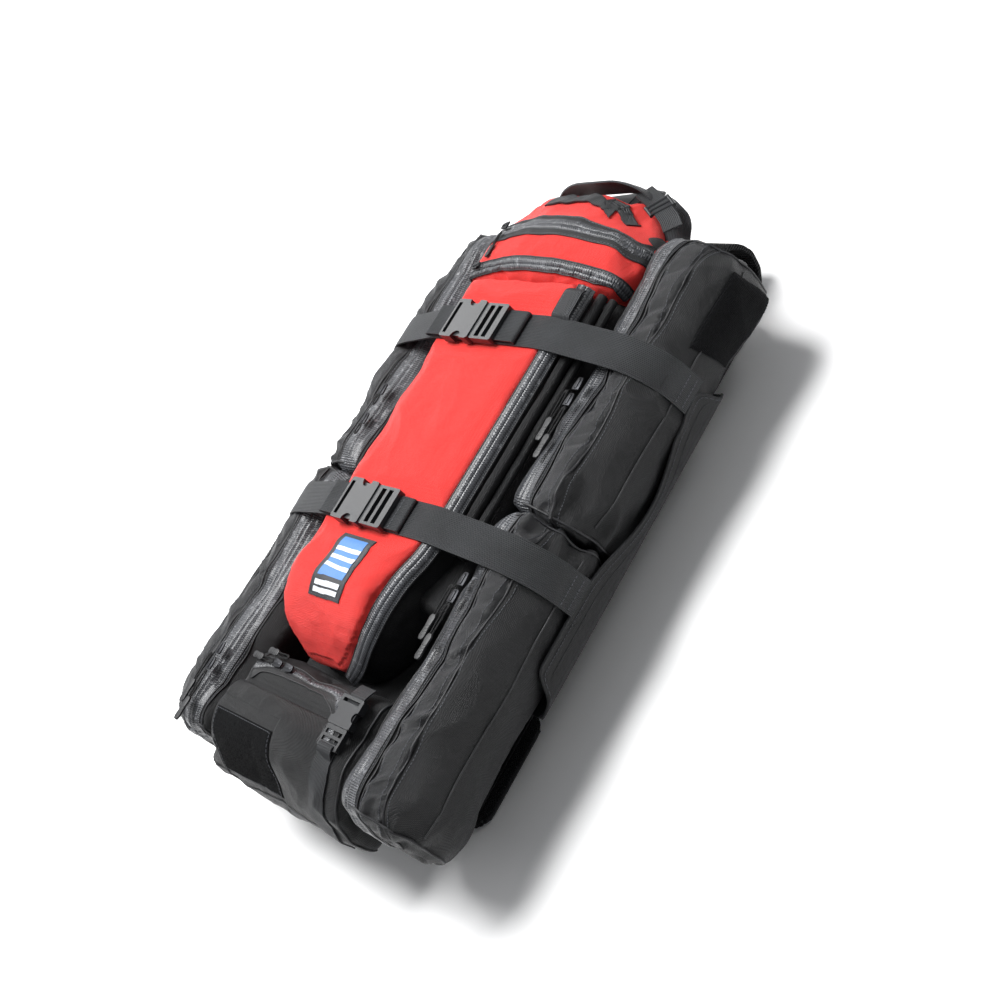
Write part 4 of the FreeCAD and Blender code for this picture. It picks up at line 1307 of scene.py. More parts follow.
@dataclass
class SpinePouch(Assembly):
    """The long pouch down the middle: black sides, a red front panel and a zip along its right edge."""

    voxel: float = 4.0
    swell: float = 4.5
    skin: Optional[Skin] = None

    def outline(self, grow: float, ledge: float) -> list:
        """The pouch's plan outline, in millimetres.

        Args:
            grow: how far the outline is drawn in.
            ledge: how much wider its right side is.

        Returns:
            (x, y) corners.
        """
        low, high = limits("spine_front_panel")
        left, top, nose = low.x, high.y, low.y
        right = high.x + ledge
        plan = [(left, top), (left, nose + 46), (left + 10, nose + 17), (left + 32, nose), (2 + ledge, nose),
                (30 + ledge, nose + 14), (44 + ledge, nose + 37), (53 + ledge, nose + 66),
                (62 + ledge, nose + 95), (right - 4, nose + 123), (right, nose + 143), (right, top)]
        centre = sum(x for x, _ in plan) / len(plan)
        return [(x - math.copysign(grow, x - centre), y - (grow if y > top - 1 else -grow)) for x, y in plan]

    def build(self, straps: Sequence[Compression]) -> None:
        """Stuff both forms and lay the zip along the panel's edge.

        Args:
            straps: the straps that cross it.
        """
        low, high = limits("spine_front_panel")
        pouch_low, pouch_high = limits("spine_pouch")
        front, nose = high.z, low.y
        ledge = pouch_high.z - 12
        plan = extruded(self.outline(2.5, 14), "Z", pouch_low.z + 1, ledge)
        side = extruded([(high.y - 2, pouch_low.z), (high.y - 2, ledge), (-170, ledge), (-197, ledge - 9),
                         (-216, ledge - 24), (nose + 1, 128), (nose + 1, pouch_low.z)], "X", -130, 130)
        black = shared(plan, side)
        soften_edges(black, 6)
        stuff(black, self.voxel, 3.5, 3.5)
        displace(black, lambda p, n: (0.8 * crumple(p, 0.03, 12.3) + 0.4 * crumple(p, 0.013, 15.8)) * MM
                 * (1.0 if n.z < 0.6 else 0.6))
        smooth(black, 60)
        self.looks.dress(black, "spine_pouch_gusset", "cordura", "black_cordura", ["spine_pouch"])
        plan = extruded(self.outline(1.0, 0), "Z", 120, front)
        top = [(high.y - 1, front - 1), (-163, front - 1), (-189, front - 9.5), (-209, front - 25),
               (nose, 133), (nose + 4, 118), (high.y - 1, 118)]
        red = shared(plan, extruded(top[::-1], "X", -130, 130))
        soften_edges(red, 5)
        stuff(red, self.voxel, 3.5, 3.0)

        def relief(place: Vector, normal: Vector) -> float:
            """The panel's crown and its creases, more at the lower end and by the straps."""
            slant = Vector((place.x + place.y * 0.5, place.y * 0.6 - place.x * 0.4, 0))
            height = 3.6 * crumple(slant, 0.1, 21.0) + 0.6 * crumple(place, 0.035, 22.0)
            low_end = 1 - ease(-0.2, -0.1, place.y)
            height += 1.3 * low_end * crumple(Vector((place.x * 0.5, place.y, place.z)), 0.045, 25.0)
            near_strap = max(1 - abs(place.y / MM - strap.middle) / 48 for strap in straps)
            height += 3.0 * max(near_strap, 0) * crumple(Vector((place.x, place.y * 0.6, 0)), 0.045, 27.0)
            crown = math.cos(min(abs(place.x + 0.005) / 0.09, 1) * math.pi / 2)
            return (height + 1.4 * crown * (normal.z > 0.5)) * MM

        displace(red, relief)
        for strap in straps:
            strap.press(red)
        smooth(red, 60)
        self.looks.dress(red, "spine_panel", "red_ripstop", "red_ripstop", ["spine_front_panel"])
        self.skin = Skin(red)
        self.zip()
        self.label()

    def zip(self) -> None:
        """The wide coated zip that falls from the panel's right edge to the ledge, and its rolled flap."""
        low, high = limits("spine_front_panel")
        nose, right, front = low.y, high.x, high.z
        inner = [v(right, high.y - 3, front - 2), v(right, nose + 143, front - 2),
                 v(right - 4, nose + 123, front - 3), v(62, nose + 95, front - 4),
                 v(53, nose + 66, front - 8), v(44, nose + 37, front - 18), v(29, nose + 13, front - 38),
                 v(10, nose - 1, 134)]
        drop = [v(15, 0, -11), v(15, 0, -11), v(15, -2, -11), v(15, -5, -11), v(15, -6, -12), v(14, -8, -13),
                v(11, -8, -14), v(6, -4, -12)]
        outer = [a + b for a, b in zip(inner, drop)]
        one, two = Route(inner, 0.02), Route(outer, 0.02)
        length = one.length

        def place(a: float, t: float) -> Vector:
            """A place on the bulging tape between the two edges."""
            spot = one.at(t).lerp(two.at(t), a)
            swell = math.sin(a * math.pi)
            return spot + v(0.35, 0, 0.9) * (swell * 2.2)

        tape = lay(None, place, (10, 220), (19, length), 0.7)
        ridge = lay(None, lambda a, t: place(0.2 + 0.6 * a, t) + v(0.5, 0, 0.85) * (
            0.5 + 0.9 * abs(math.sin(2 * math.pi * a)) ** 0.6 + 0.12 * coil_ripple(t, length)),
            (14, 560), (12, length), 0.5)
        self.looks.dress(tape, "spine_zip_tape", "zip_face", "zipper", ["spine_zipper"])
        self.looks.dress(ridge, "spine_zip_coil", "coil", "zipper")
        edges = [tube([place(a, t / 180) + v(0.4, 0, 0.8) * 0.6 for t in range(181)], 0.75)
                 for a in (0.03, 0.22, 0.78, 0.97)]
        self.looks.dress(joined(edges), "spine_zip_cords", "piping", "zipper")
        rolled = []
        for shift, radius, fall in ((4.5, 5.6, 7.5), (12.5, 4.6, 16.0)):
            spots = []
            for t in range(161):
                share = t / 160 * 0.62
                slow, quick = Vector((share * 12, shift, 0)), Vector((share * 40, 1, 0))
                wander = 2.2 * noise.noise(slow) + 0.8 * noise.noise(quick)
                spots.append(two.at(share) + v(shift + wander, 0, -fall + wander))
            rolled.append(tube(spots, radius, sides=5))
        self.looks.dress(joined(rolled), "spine_zip_flap", "cordura", "black_cordura")

    def label(self) -> None:
        """A plain woven label: a blue field with white bars on dark grey."""
        low, high = limits("label_patch")
        left, right, top = low.x - 3, high.x - 2, high.y - 2
        tall, lean, slope_from = 66, -7.0, -165
        bottom = top - tall

        def guide(x0: float, x1: float, y0: float, y1: float) -> Callable[[float, float], Vector]:
            """The guide of a rectangle on the label, which leans and follows the panel's slope."""
            def spot(a: float, t: float) -> Vector:
                """A place on the rectangle."""
                y = y0 + (y1 - y0) * t
                return v(x0 + (x1 - x0) * a + lean * (top - y) / tall, y,
                         high.z - 0.45 * max(slope_from - y, 0))
            return spot

        ground = lay(self.skin, guide(left, right, bottom, top), (20, 26), (52, tall), 0.7)
        blue = lay(self.skin, guide(left + 7, right - 7, top - 47, top - 5), (14, 16), (38, 42), 0.25,
                   lambda a, t: 1.1)
        bars = [lay(self.skin, guide(left + 7, right - 7, top - y - 4.5, top - y), (14, 4), (38, 4.5), 0.25,
                    lambda a, t: 1.4) for y in (14, 24, 34, 51, 57.5)]
        self.looks.dress(ground, "label_ground", "label_ground", "label", ["label_patch"])
        self.looks.dress(blue, "label_field", "label_blue", "label")
        self.looks.dress(joined(bars), "label_bars", "label_white", "label")
        corners = [guide(left + 1.6, right - 1.6, bottom + 1.6, top - 1.6)(a, t)
                   for a, t in ((0, 0), (1, 0), (1, 1), (0, 1), (0, 0))]
        rim = Route(corners, 0.004)
        rows = stitched_on(self.skin, rim.at, rim.length, 1.15, 2.8)
        self.looks.dress(dashes(rows, 0.3), "label_stitches", "thread", "label")


@dataclass
class LidPocket(Assembly):
    """The crowned red lid over the top end, with a pocket zip and a throat zip across it."""

    voxel: float = 4.2
    swell: float = 5.0
    skin: Optional[Skin] = None

    def build(self) -> None:
        """Stuff the lid and lay both zips."""
        low, high = limits("lid_pocket")
        middle = (low.x + high.x) / 2
        base = high.z - CROWN_RADIUS
        half = (high.x - low.x) / 2 - 2
        arc = [(middle + half * i / 6, base - 3 + math.sqrt(CROWN_RADIUS ** 2 - (half * i / 6) ** 2))
               for i in range(6, -7, -1)]
        section = [(middle - half, low.z + 3), (middle + half, low.z + 3)] + arc
        body = extruded(section, "Y", low.y + 3, high.y - 3)
        plan = [(low.x, low.y), (high.x, low.y), (high.x, high.y - 46), (high.x - 12, high.y - 18),
                (high.x - 42, high.y - 3), (low.x + 42, high.y - 3), (low.x + 12, high.y - 18),
                (low.x, high.y - 46)]
        lid = shared(body, extruded(plan, "Z", 50, 300))
        soften_edges(lid, 12, 4)
        stuff(lid, self.voxel, 4, self.swell)

        def relief(place: Vector, normal: Vector) -> float:
            """The creases' height, more towards the top end."""
            height = 2.2 * crumple(place, 0.07, 31.0) + 0.6 * crumple(place, 0.028, 33.0)
            height += 4.0 * ease(0.27, 0.33, place.y) * crumple(place, 0.045, 35.0)
            return height * MM

        displace(lid, relief)
        ends = high.y * MM
        for vertex in lid.data.vertices:
            far = ease(ends - 0.1, ends, vertex.co.y)
            corner = ease(0.01, 0.11, vertex.co.x)
            vertex.co.z -= (24 * far ** 1.3 + 22 * corner * far) * MM * ease(0.12, 0.17, vertex.co.z)
            vertex.co.x -= 24 * corner * far * MM
        smooth(lid, 60)
        self.looks.dress(lid, "lid_stuffed", "red_ripstop", "red_ripstop", ["lid_pocket"])
        self.skin = Skin(lid)
        zips = limits("lid_zippers")
        self.band("lid_zip", zips[1].y - 16, 30, 7.5, ["lid_zippers"])
        self.band("throat_zip", zips[0].y + 7.5, 15, 6.5, [])

    def band(self, name: str, y: float, width: float, half: float, stands: list) -> None:
        """One zip over the crown with grosgrain each side, in millimetres.

        Args:
            name: of its pieces.
            y: where it crosses the pack's middle.
            width: of the whole band.
            half: half the width of the coated face.
            stands: the frame nodes that it replaces.
        """
        low, high = limits("lid_pocket")
        middle = (low.x + high.x) / 2
        reach = (high.x - low.x) / 2 - 1

        def line(shift: float) -> Callable[[float], Vector]:
            """The band's line over the crown, moved towards the top end."""
            def at(t: float) -> Vector:
                """The place at a share of the line."""
                run = (2 * t - 1) * (reach + 20)
                x = min(max(run, -reach), reach)
                sag = 4 * (abs(x) / reach) ** 2.4
                return v(middle + x, y + shift - sag, high.z - (x ** 2) / 650 - 1.2 * (abs(run) - abs(x)))
            return at

        def strip(from_y: float, to_y: float, cells: tuple, thick: float,
                  lift: Callable[[float, float], float]) -> Piece:
            """A strip of the band between two shifts."""
            return lay(self.skin, lambda a, t: line(from_y + (to_y - from_y) * a)(t), cells,
                       (to_y - from_y, 2 * reach), thick, lift)

        face = strip(-half, half, (16, 360), 0.5,
                     lambda a, t: 0.9 + 1.2 * abs(math.sin(2 * math.pi * a)) ** 0.6
                     + 0.12 * coil_ripple(t, 2 * reach))
        self.looks.dress(face, f"{name}_face", "zip_face", "zipper", stands)
        tapes = [strip(-width / 2 - 1, -half + 1, (4, 120), 0.9, lambda a, t: 0.3),
                 strip(half - 1, width / 2 + 1, (4, 120), 0.9, lambda a, t: 0.3)]
        self.looks.dress(joined(tapes), f"{name}_tapes", "grosgrain", "zipper")
        rows = []
        for shift in (-width / 2 + 0.5, -half - 0.6, half + 0.6, width / 2 - 0.5):
            rows += stitched_on(self.skin, line(shift), 2 * reach, 1.35)
        self.looks.dress(dashes(rows, 0.34), f"{name}_stitches", "thread", "zipper")
        edges = [cord_on(self.skin, [line(shift)(t / 120) for t in range(121)], 1.0, 3, 0.8)
                 for shift in (-width / 2 - 1, -half, half, width / 2 + 1)]
        self.looks.dress(joined(edges), f"{name}_cords", "piping", "zipper")


@dataclass
class BottomPouch(Assembly):
    """The pouch over the bottom end, with its zip, loop field, seams and strap."""

    voxel: float = 4.4
    swell: float = 8.0
    skin: Optional[Skin] = None
    aimed: Optional[Aimed] = None

    def profile(self, inset: float) -> list:
        """The pouch from the side, in millimetres.

        Args:
            inset: how far the outline is drawn in.

        Returns:
            (y, z) corners, front first, from its upper end round to the back.
        """
        low, high = limits("bottom_pouch")
        bag = limits("main_bag")[0].y + 5
        return [(high.y - inset, 101 + inset), (high.y - inset, high.z - 12), (high.y - 12, high.z - inset),
                (low.y + 55, high.z - inset), (low.y + 22, high.z - 10 - inset),
                (low.y + 5 + inset, high.z - 31), (low.y + inset, high.z - 60),
                (low.y + 6 + inset, low.z + inset), (bag, low.z + inset), (bag, 101 + inset)]

    def build(self) -> None:
        """Stuff the pouch and lay what is sewn to it."""
        low, high = limits("bottom_pouch")
        pouch = extruded(self.profile(3)[::-1], "X", low.x - 11, high.x - 2, 11)
        stuff(pouch, self.voxel, 5, self.swell)

        def relief(place: Vector, normal: Vector) -> float:
            """The creases' height, more at the sides and less by the zip and under the loop panel."""
            side = ease(0.06, 0.1, abs(place.x + 0.003))
            flat = 1 - 0.75 * (normal.z > 0.3) * (place.x < 0.005) * (place.y < -0.3)
            height = 2.2 * crumple(place, 0.07, 41.0) + 0.5 * crumple(place, 0.022, 43.0)
            height += 5.0 * side * creased(place, 0.05, 45.0)
            by_zip = math.exp(-((place.y + 0.25) / 0.02) ** 2) * (place.z > 0.13)
            return height * flat * (1 - 0.8 * by_zip) * MM

        displace(pouch, relief)
        pods_end = limits("lower_left_pod")[0].y - 2
        for vertex in pouch.data.vertices:
            beyond = 1 - ease(pods_end - 14, pods_end, vertex.co.y / MM)
            vertex.co.x -= 17 * beyond * ease(0.05, 0.1, -vertex.co.x) * MM
            corner = ease(0.07, 0.108, vertex.co.x)
            vertex.co.z -= 6 * corner * ease(0.1, 0.15, vertex.co.z) * MM
            dome = max(1 - ((vertex.co.x + 0.045) / 0.125) ** 2 - ((vertex.co.y + 0.315) / 0.052) ** 2, 0)
            vertex.co.z += 15 * ease(0, 0.8, dome) * ease(0.12, 0.145, vertex.co.z) * MM
            if vertex.co.y > -0.28:
                ceiling = high.z - 0.5 + 4 * (1 - ease(-0.262, -0.285, vertex.co.y))
                vertex.co.z = min(vertex.co.z, ceiling * MM)
        smooth(pouch, 60)
        self.looks.dress(pouch, "bottom_pouch_stuffed", "cordura", "black_cordura", ["bottom_pouch"])
        self.skin = Skin(pouch)
        self.aimed = Aimed(self.skin, -0.318, -0.27, 0.085)
        self.zip()
        self.field()
        self.strap()
        seams = []
        for x in (low.x + 3, high.x - 3):
            spots = on_skin(self.skin, [v(x, y, z) for y, z in self.profile(0)[1:8]], 0)
            seams.append(cord_on(self.skin, Route(spots, 0.03).many(90), 0.4, 5, 1.3))
        cross = Route([v(low.x + 6, low.y + 3, 100), v(-60, low.y + 2, 104), v(0, low.y + 2, 112),
                       v(58, low.y + 2, 104)], 0.03)
        seams.append(cord_on(self.skin, cross.many(70), 0.3, 5, 1.0))
        self.looks.dress(joined(seams), "bottom_pouch_seams", "piping", "black_cordura")

    def zip(self) -> None:
        """The arched zip along the pouch's upper front edge."""
        low, high = limits("bottom_pouch_zipper")
        y = (low.y + high.y) / 2
        line = Route([v(low.x - 2, y - 12, 143), v(low.x + 18, y - 2, 149), v(-40, y, 151), v(10, y, 151),
                      v(high.x - 18, y - 2, 150), v(high.x + 2, y - 12, 150), v(high.x + 10, y - 32, 150),
                      v(high.x + 11, y - 52, 149)], 0.05)

        def at(a: float, t: float, wide: float) -> Vector:
            """A place across and along a strip of some width on the zip's line."""
            return line.beside(t, (a - 0.5) * wide, 0.01)

        face = lay(self.skin, lambda a, t: at(a, t, 9), (8, 240), (9, line.length), 0.5,
                   lambda a, t: 0.9 + 1.0 * math.sin(a * math.pi) + 0.3 * coil_ripple(t, line.length))
        self.looks.dress(face, "bottom_zip_face", "zip_face", "zipper", ["bottom_pouch_zipper"])
        tape = lay(self.skin, lambda a, t: at(a, t, 22), (10, 120), (22, line.length), 0.6, lambda a, t: 0.2)
        self.looks.dress(tape, "bottom_zip_tape", "grosgrain", "zipper")
        edges = [cord_on(self.skin, [at(a, t / 110, 22) for t in range(111)], 0.9, 4, 0.8)
                 for a in (0.0, 0.28, 0.72, 1.0)]
        self.looks.dress(joined(edges), "bottom_zip_cords", "piping", "zipper")

    def field(self) -> None:
        """The loop panel that a badge would stick to."""
        low, high = limits("loop_field")
        line = Route([v(0, high.y, high.z), v(0, low.y + 20, high.z - 11), v(0, low.y + 1, low.z)], 0.05)

        def guide(a: float, t: float) -> Vector:
            """The panel's place."""
            return line.at(t) + v(low.x + (high.x - low.x) * a, 0, 0)

        def pile(a: float, t: float) -> float:
            """The loops' uneven height, sinking to the bound rim."""
            spot = Vector((a * 70, t * 40, 0))
            fuzz = 0.9 + 0.5 * noise.noise(spot) + 0.4 * noise.noise(spot * 2.3)
            return 0.35 + fuzz * ease(0.0, 0.05, min(a, 1 - a, t, 1 - t))

        panel = lay(self.aimed, guide, (150, 84), (106, 60), 0.6, pile)
        self.looks.dress(panel, "loop_panel", "pile", "loop_pile", ["loop_field"])
        rim = [(0.02, 0.03), (0.98, 0.03), (0.98, 0.97), (0.02, 0.97), (0.02, 0.03)]
        edge = Route([guide(a, t) for a, t in rim], 0.004)
        rows = stitched_on(self.aimed, edge.at, edge.length, 1.5)
        self.looks.dress(dashes(rows, 0.34), "loop_panel_stitches", "thread", "loop_pile")

    def strap(self) -> None:
        """The narrow strap from the buckle down over the pouch's lower end."""
        low, high = limits("pouch_strap")
        middle = (low.x + high.x) / 2
        wide = high.x - low.x + 1
        plug = limits("pouch_buckle_plug")[0].y
        socket = limits("pouch_buckle_socket")[1].y

        def ribbon(skin: Optional[Skin], spots: Sequence, soften: float, wide: float, rows: int,
                   thickness: float) -> Piece:
            """A piece of the strap through (y, z) places in millimetres."""
            line = Route([v(middle, y, z) for y, z in spots], soften)
            return lay(skin, lambda a, t: line.at(t) + v((a - 0.5) * wide, 0, 0), (8, rows),
                       (wide, line.length), thickness, lambda a, t: 0.4)

        web = ribbon(self.skin, [(plug + 4, 152), (low.y + 48, 151), (low.y + 20, 141), (low.y + 1, 119),
                                 (low.y - 1, 90), (low.y + 3, 77)], 0.03, wide, 110, 1.4)
        lead = ribbon(None, [(socket - 9, 154), (socket + 2, 155), (socket + 9, 152), (socket + 14, 149)],
                      0.04, wide, 30, 1.4)
        self.looks.dress(joined([web, lead]), "pouch_webbing", "webbing", "webbing", ["pouch_strap"])
        bend = ribbon(None, [(plug + 8, 153.5), (plug + 2, 159.6), (plug - 3, 158), (plug - 8, 153)],
                      0.05, wide - 1, 24, 1.2)
        self.looks.dress(bend, "pouch_strap_bend", "webbing", "webbing", body="pouch_plug")


# ---------------------------------------------------------------- wings, handle and harness


@dataclass
class Wings(Assembly):
    """The side wings that the compression straps are sewn to, each with a bound, scalloped edge."""

    thickness: float = 1.8

    def build(self, skins: dict) -> None:
        """Make both wings and their bindings over the pods' sides.

        Args:
            skins: the pods' skins, under 1 for the right side and -1 for the left.
        """
        low, high = limits("compression_wings")
        step = limits("main_bag")[1].x + 3
        panels = []
        bindings = []
        rows = []
        for sign, outer in ((1, high.x - 1.6), (-1, -low.x - 1.6)):
            section = [v(sign * step, 0, 55.5), v(sign * (outer - 13), 0, 57), v(sign * outer, 0, 74.5),
                       v(sign * outer, 0, high.z - 0.5)]
            line = Route(section, 0.05)

            def rim(t: float) -> float:
                """How much of the panel's height its scalloped edge leaves."""
                y = low.y + (high.y - low.y) * t
                dip = 0.13 * (math.cos((y - 30) / 215 * math.pi * 2) + 1)
                ends = 0.62 * (1 - ease(0, 0.09, min(t, 1 - t)))
                return 1 - max(dip * (-75 < y < 138), ends)

            def guide(a: float, t: float, line: Route = line, sign: int = sign) -> Vector:
                """The panel's place, pushed out to clear the pods."""
                place = line.at(a * rim(t)) + v(0, low.y + (high.y - low.y) * t, 0)
                if place.z > 0.058:
                    hits = [skin.cast(Vector((sign * 0.3, place.y, place.z)), Vector((-sign, 0, 0)))
                            for skin in skins[sign]]
                    reach = max([abs(hit[0].x) for hit in hits if hit], default=0)
                    place.x = sign * max(abs(place.x), min(reach + 0.0012, abs(place.x) + 0.014))
                return place

            panels.append(lay(None, guide, (20, 150), (70, high.y - low.y), self.thickness - 0.6))
            edge = settled([guide(1, t / 220) for t in range(221)], 5)
            bindings.append(tube(edge, 1.6))
            seam = settled([guide(0.82, t / 120) + v(sign * 0.9, 0, 0) for t in range(121)], 5)
            bindings.append(tube(seam, 0.7))
            rows += stitched(lambda t, g=guide, s=sign: g(0.93, t) + v(s * 1.4, 0, 0), high.y - low.y)
        self.looks.dress(joined(panels), "wing_panels", "cordura", "black_cordura",
                     ["compression_wings"])
        self.looks.dress(joined(bindings), "wing_bindings", "webbing", "black_cordura")
        self.looks.dress(dashes(rows, 0.34), "wing_stitches", "thread", "black_cordura")


@dataclass
class HaulHandle(Assembly):
    """The haul handle: webbing rolled into a grip that arches past the top end, and the webbing by it."""

    def build(self) -> None:
        """Make the arch of the handle and its stitches."""
        low, high = limits("haul_handle")
        middle = (low.z + high.z) / 2
        end = low.y
        line = Route([v(low.x + 2, end + 2, 0), v(low.x + 12, end + 6, 9), v(low.x + 38, end + 11, 17),
                      v(high.x - 8, end + 12, 20), v(high.x + 24, end + 7, 14),
                      v(high.x + 38, end - 2, 3)], 0.07)

        def guide(a: float, t: float) -> Vector:
            """The webbing's place, wider and more curled in the middle of the arch."""
            spread = 7 + 8.5 * min(max(line.at(t).z / MM, 0) / 18, 1)
            curl = 3.0 * math.sin(a * math.pi)
            return line.at(t) + v(0, curl - 0.35 * (a - 0.5) * 2 * spread, middle + (a - 0.5) * 2 * spread)

        arch = lay(None, guide, (14, 90), (29, line.length), 2.0)
        self.looks.dress(arch, "haul_handle_webbing", "webbing", "webbing", ["haul_handle"], "haul_handle")
        rows = []
        for a in (0.14, 0.86):
            rows += stitched(lambda t, a=a: guide(a, 0.1 + 0.8 * t) + v(0, 2.2, 0), line.length * 0.8)
        self.looks.dress(dashes(rows, 0.36), "haul_handle_stitches", "thread", "webbing", body="haul_handle")

    def tab(self) -> None:
        """The tab at the spine zip's upper end."""
        low, high = limits("webbing_tab")
        line = Route([v(0, low.y, low.z - 1), v(0, low.y + 2, high.z), v(0, high.y - 4, high.z + 0.6),
                      v(0, high.y, high.z - 2)], 0.06)

        def guide(a: float, t: float) -> Vector:
            """The tab's place; it falls away to the right."""
            return line.at(t) + v(low.x + (high.x - low.x) * a, 0, -7 * max(a - 0.55, 0) ** 1.4)

        piece = lay(None, guide, (12, 30), (high.x - low.x, high.y - low.y), 1.6)
        self.looks.dress(piece, "zip_end_tab", "webbing", "webbing", ["webbing_tab"])
        ring = ((0.1, 0.12), (0.9, 0.12), (0.9, 0.88), (0.1, 0.88), (0.1, 0.12))
        corners = Route([guide(a, t) + v(0, 0, 1.8) for a, t in ring], 0.01)
        self.looks.dress(dashes(stitched(corners.at, corners.length), 0.36), "zip_end_tab_stitches", "thread",
                         "webbing")

    def trim(self, lid: Skin) -> None:
        """The webbing that ties the lid down, and the belts and anchors behind the handle.

        Args:
            lid: the lid's skin.
        """
        end = limits("lid_pocket")[1].y
        tie = Route([v(34, end - 6, 184), v(56, end - 14, 180), v(76, end - 26, 174)], 0.04)
        web = lay(lid, lambda a, t: tie.beside(t, (a - 0.5) * 20, 0.02), (8, 60), (20, tie.length), 1.3,
                  lambda a, t: 0.5)
        self.looks.dress(web, "lid_tie_webbing", "webbing", "webbing")
        for name, wide, spots in (
                ("handle_side_webbing", 20, ((44, 12, 150), (72, -2, 149), (98, -20, 146), (116, -36, 150))),
                ("harness_cross_webbing", 30, ((-56, 9, 128), (20, 14, 132), (58, 8, 132), (92, -12, 128),
                                               (102, -42, 122)))):
            run = Route([v(x, end + y, z) for x, y, z in spots], 0.05)

            def free(a: float, t: float, run: Route = run, wide: float = wide) -> Vector:
                """A place across and along the belt, which leans outwards."""
                return run.beside(t, (a - 0.5) * wide, 0.03, -0.25)

            belt = lay(None, free, (8, 60), (wide, run.length), 2.0)
            self.looks.dress(belt, name, "webbing", "webbing")
            bars = []
            for share in (0.36, 0.44, 0.52):
                bars.append(tube([free(a, share) + v(0, 0, 1.6) for a in (-0.12, 0.5, 1.12)], 1.9, sides=3))
            for a in (-0.12, 1.12):
                side = [free(a, share) + v(0, 0, 1.6) for share in (0.34, 0.44, 0.54)]
                bars.append(tube(side, 2.1, sides=3))
            self.looks.dress(joined(bars), f"{name}_ladder_lock", "acetal", "acetal")
        top = Route([v(-62, end - 14, 186), v(-20, end - 9, 190), v(26, end - 13, 188), v(52, end - 24, 184)],
                    0.05)
        band = lay(lid, lambda a, t: top.at(t) + v(0, (a - 0.5) * 24, 0), (8, 70), (24, top.length), 1.6,
                   lambda a, t: 0.6 + 1.2 * math.sin(t * math.pi))
        self.looks.dress(band, "handle_anchor_webbing", "webbing", "webbing")


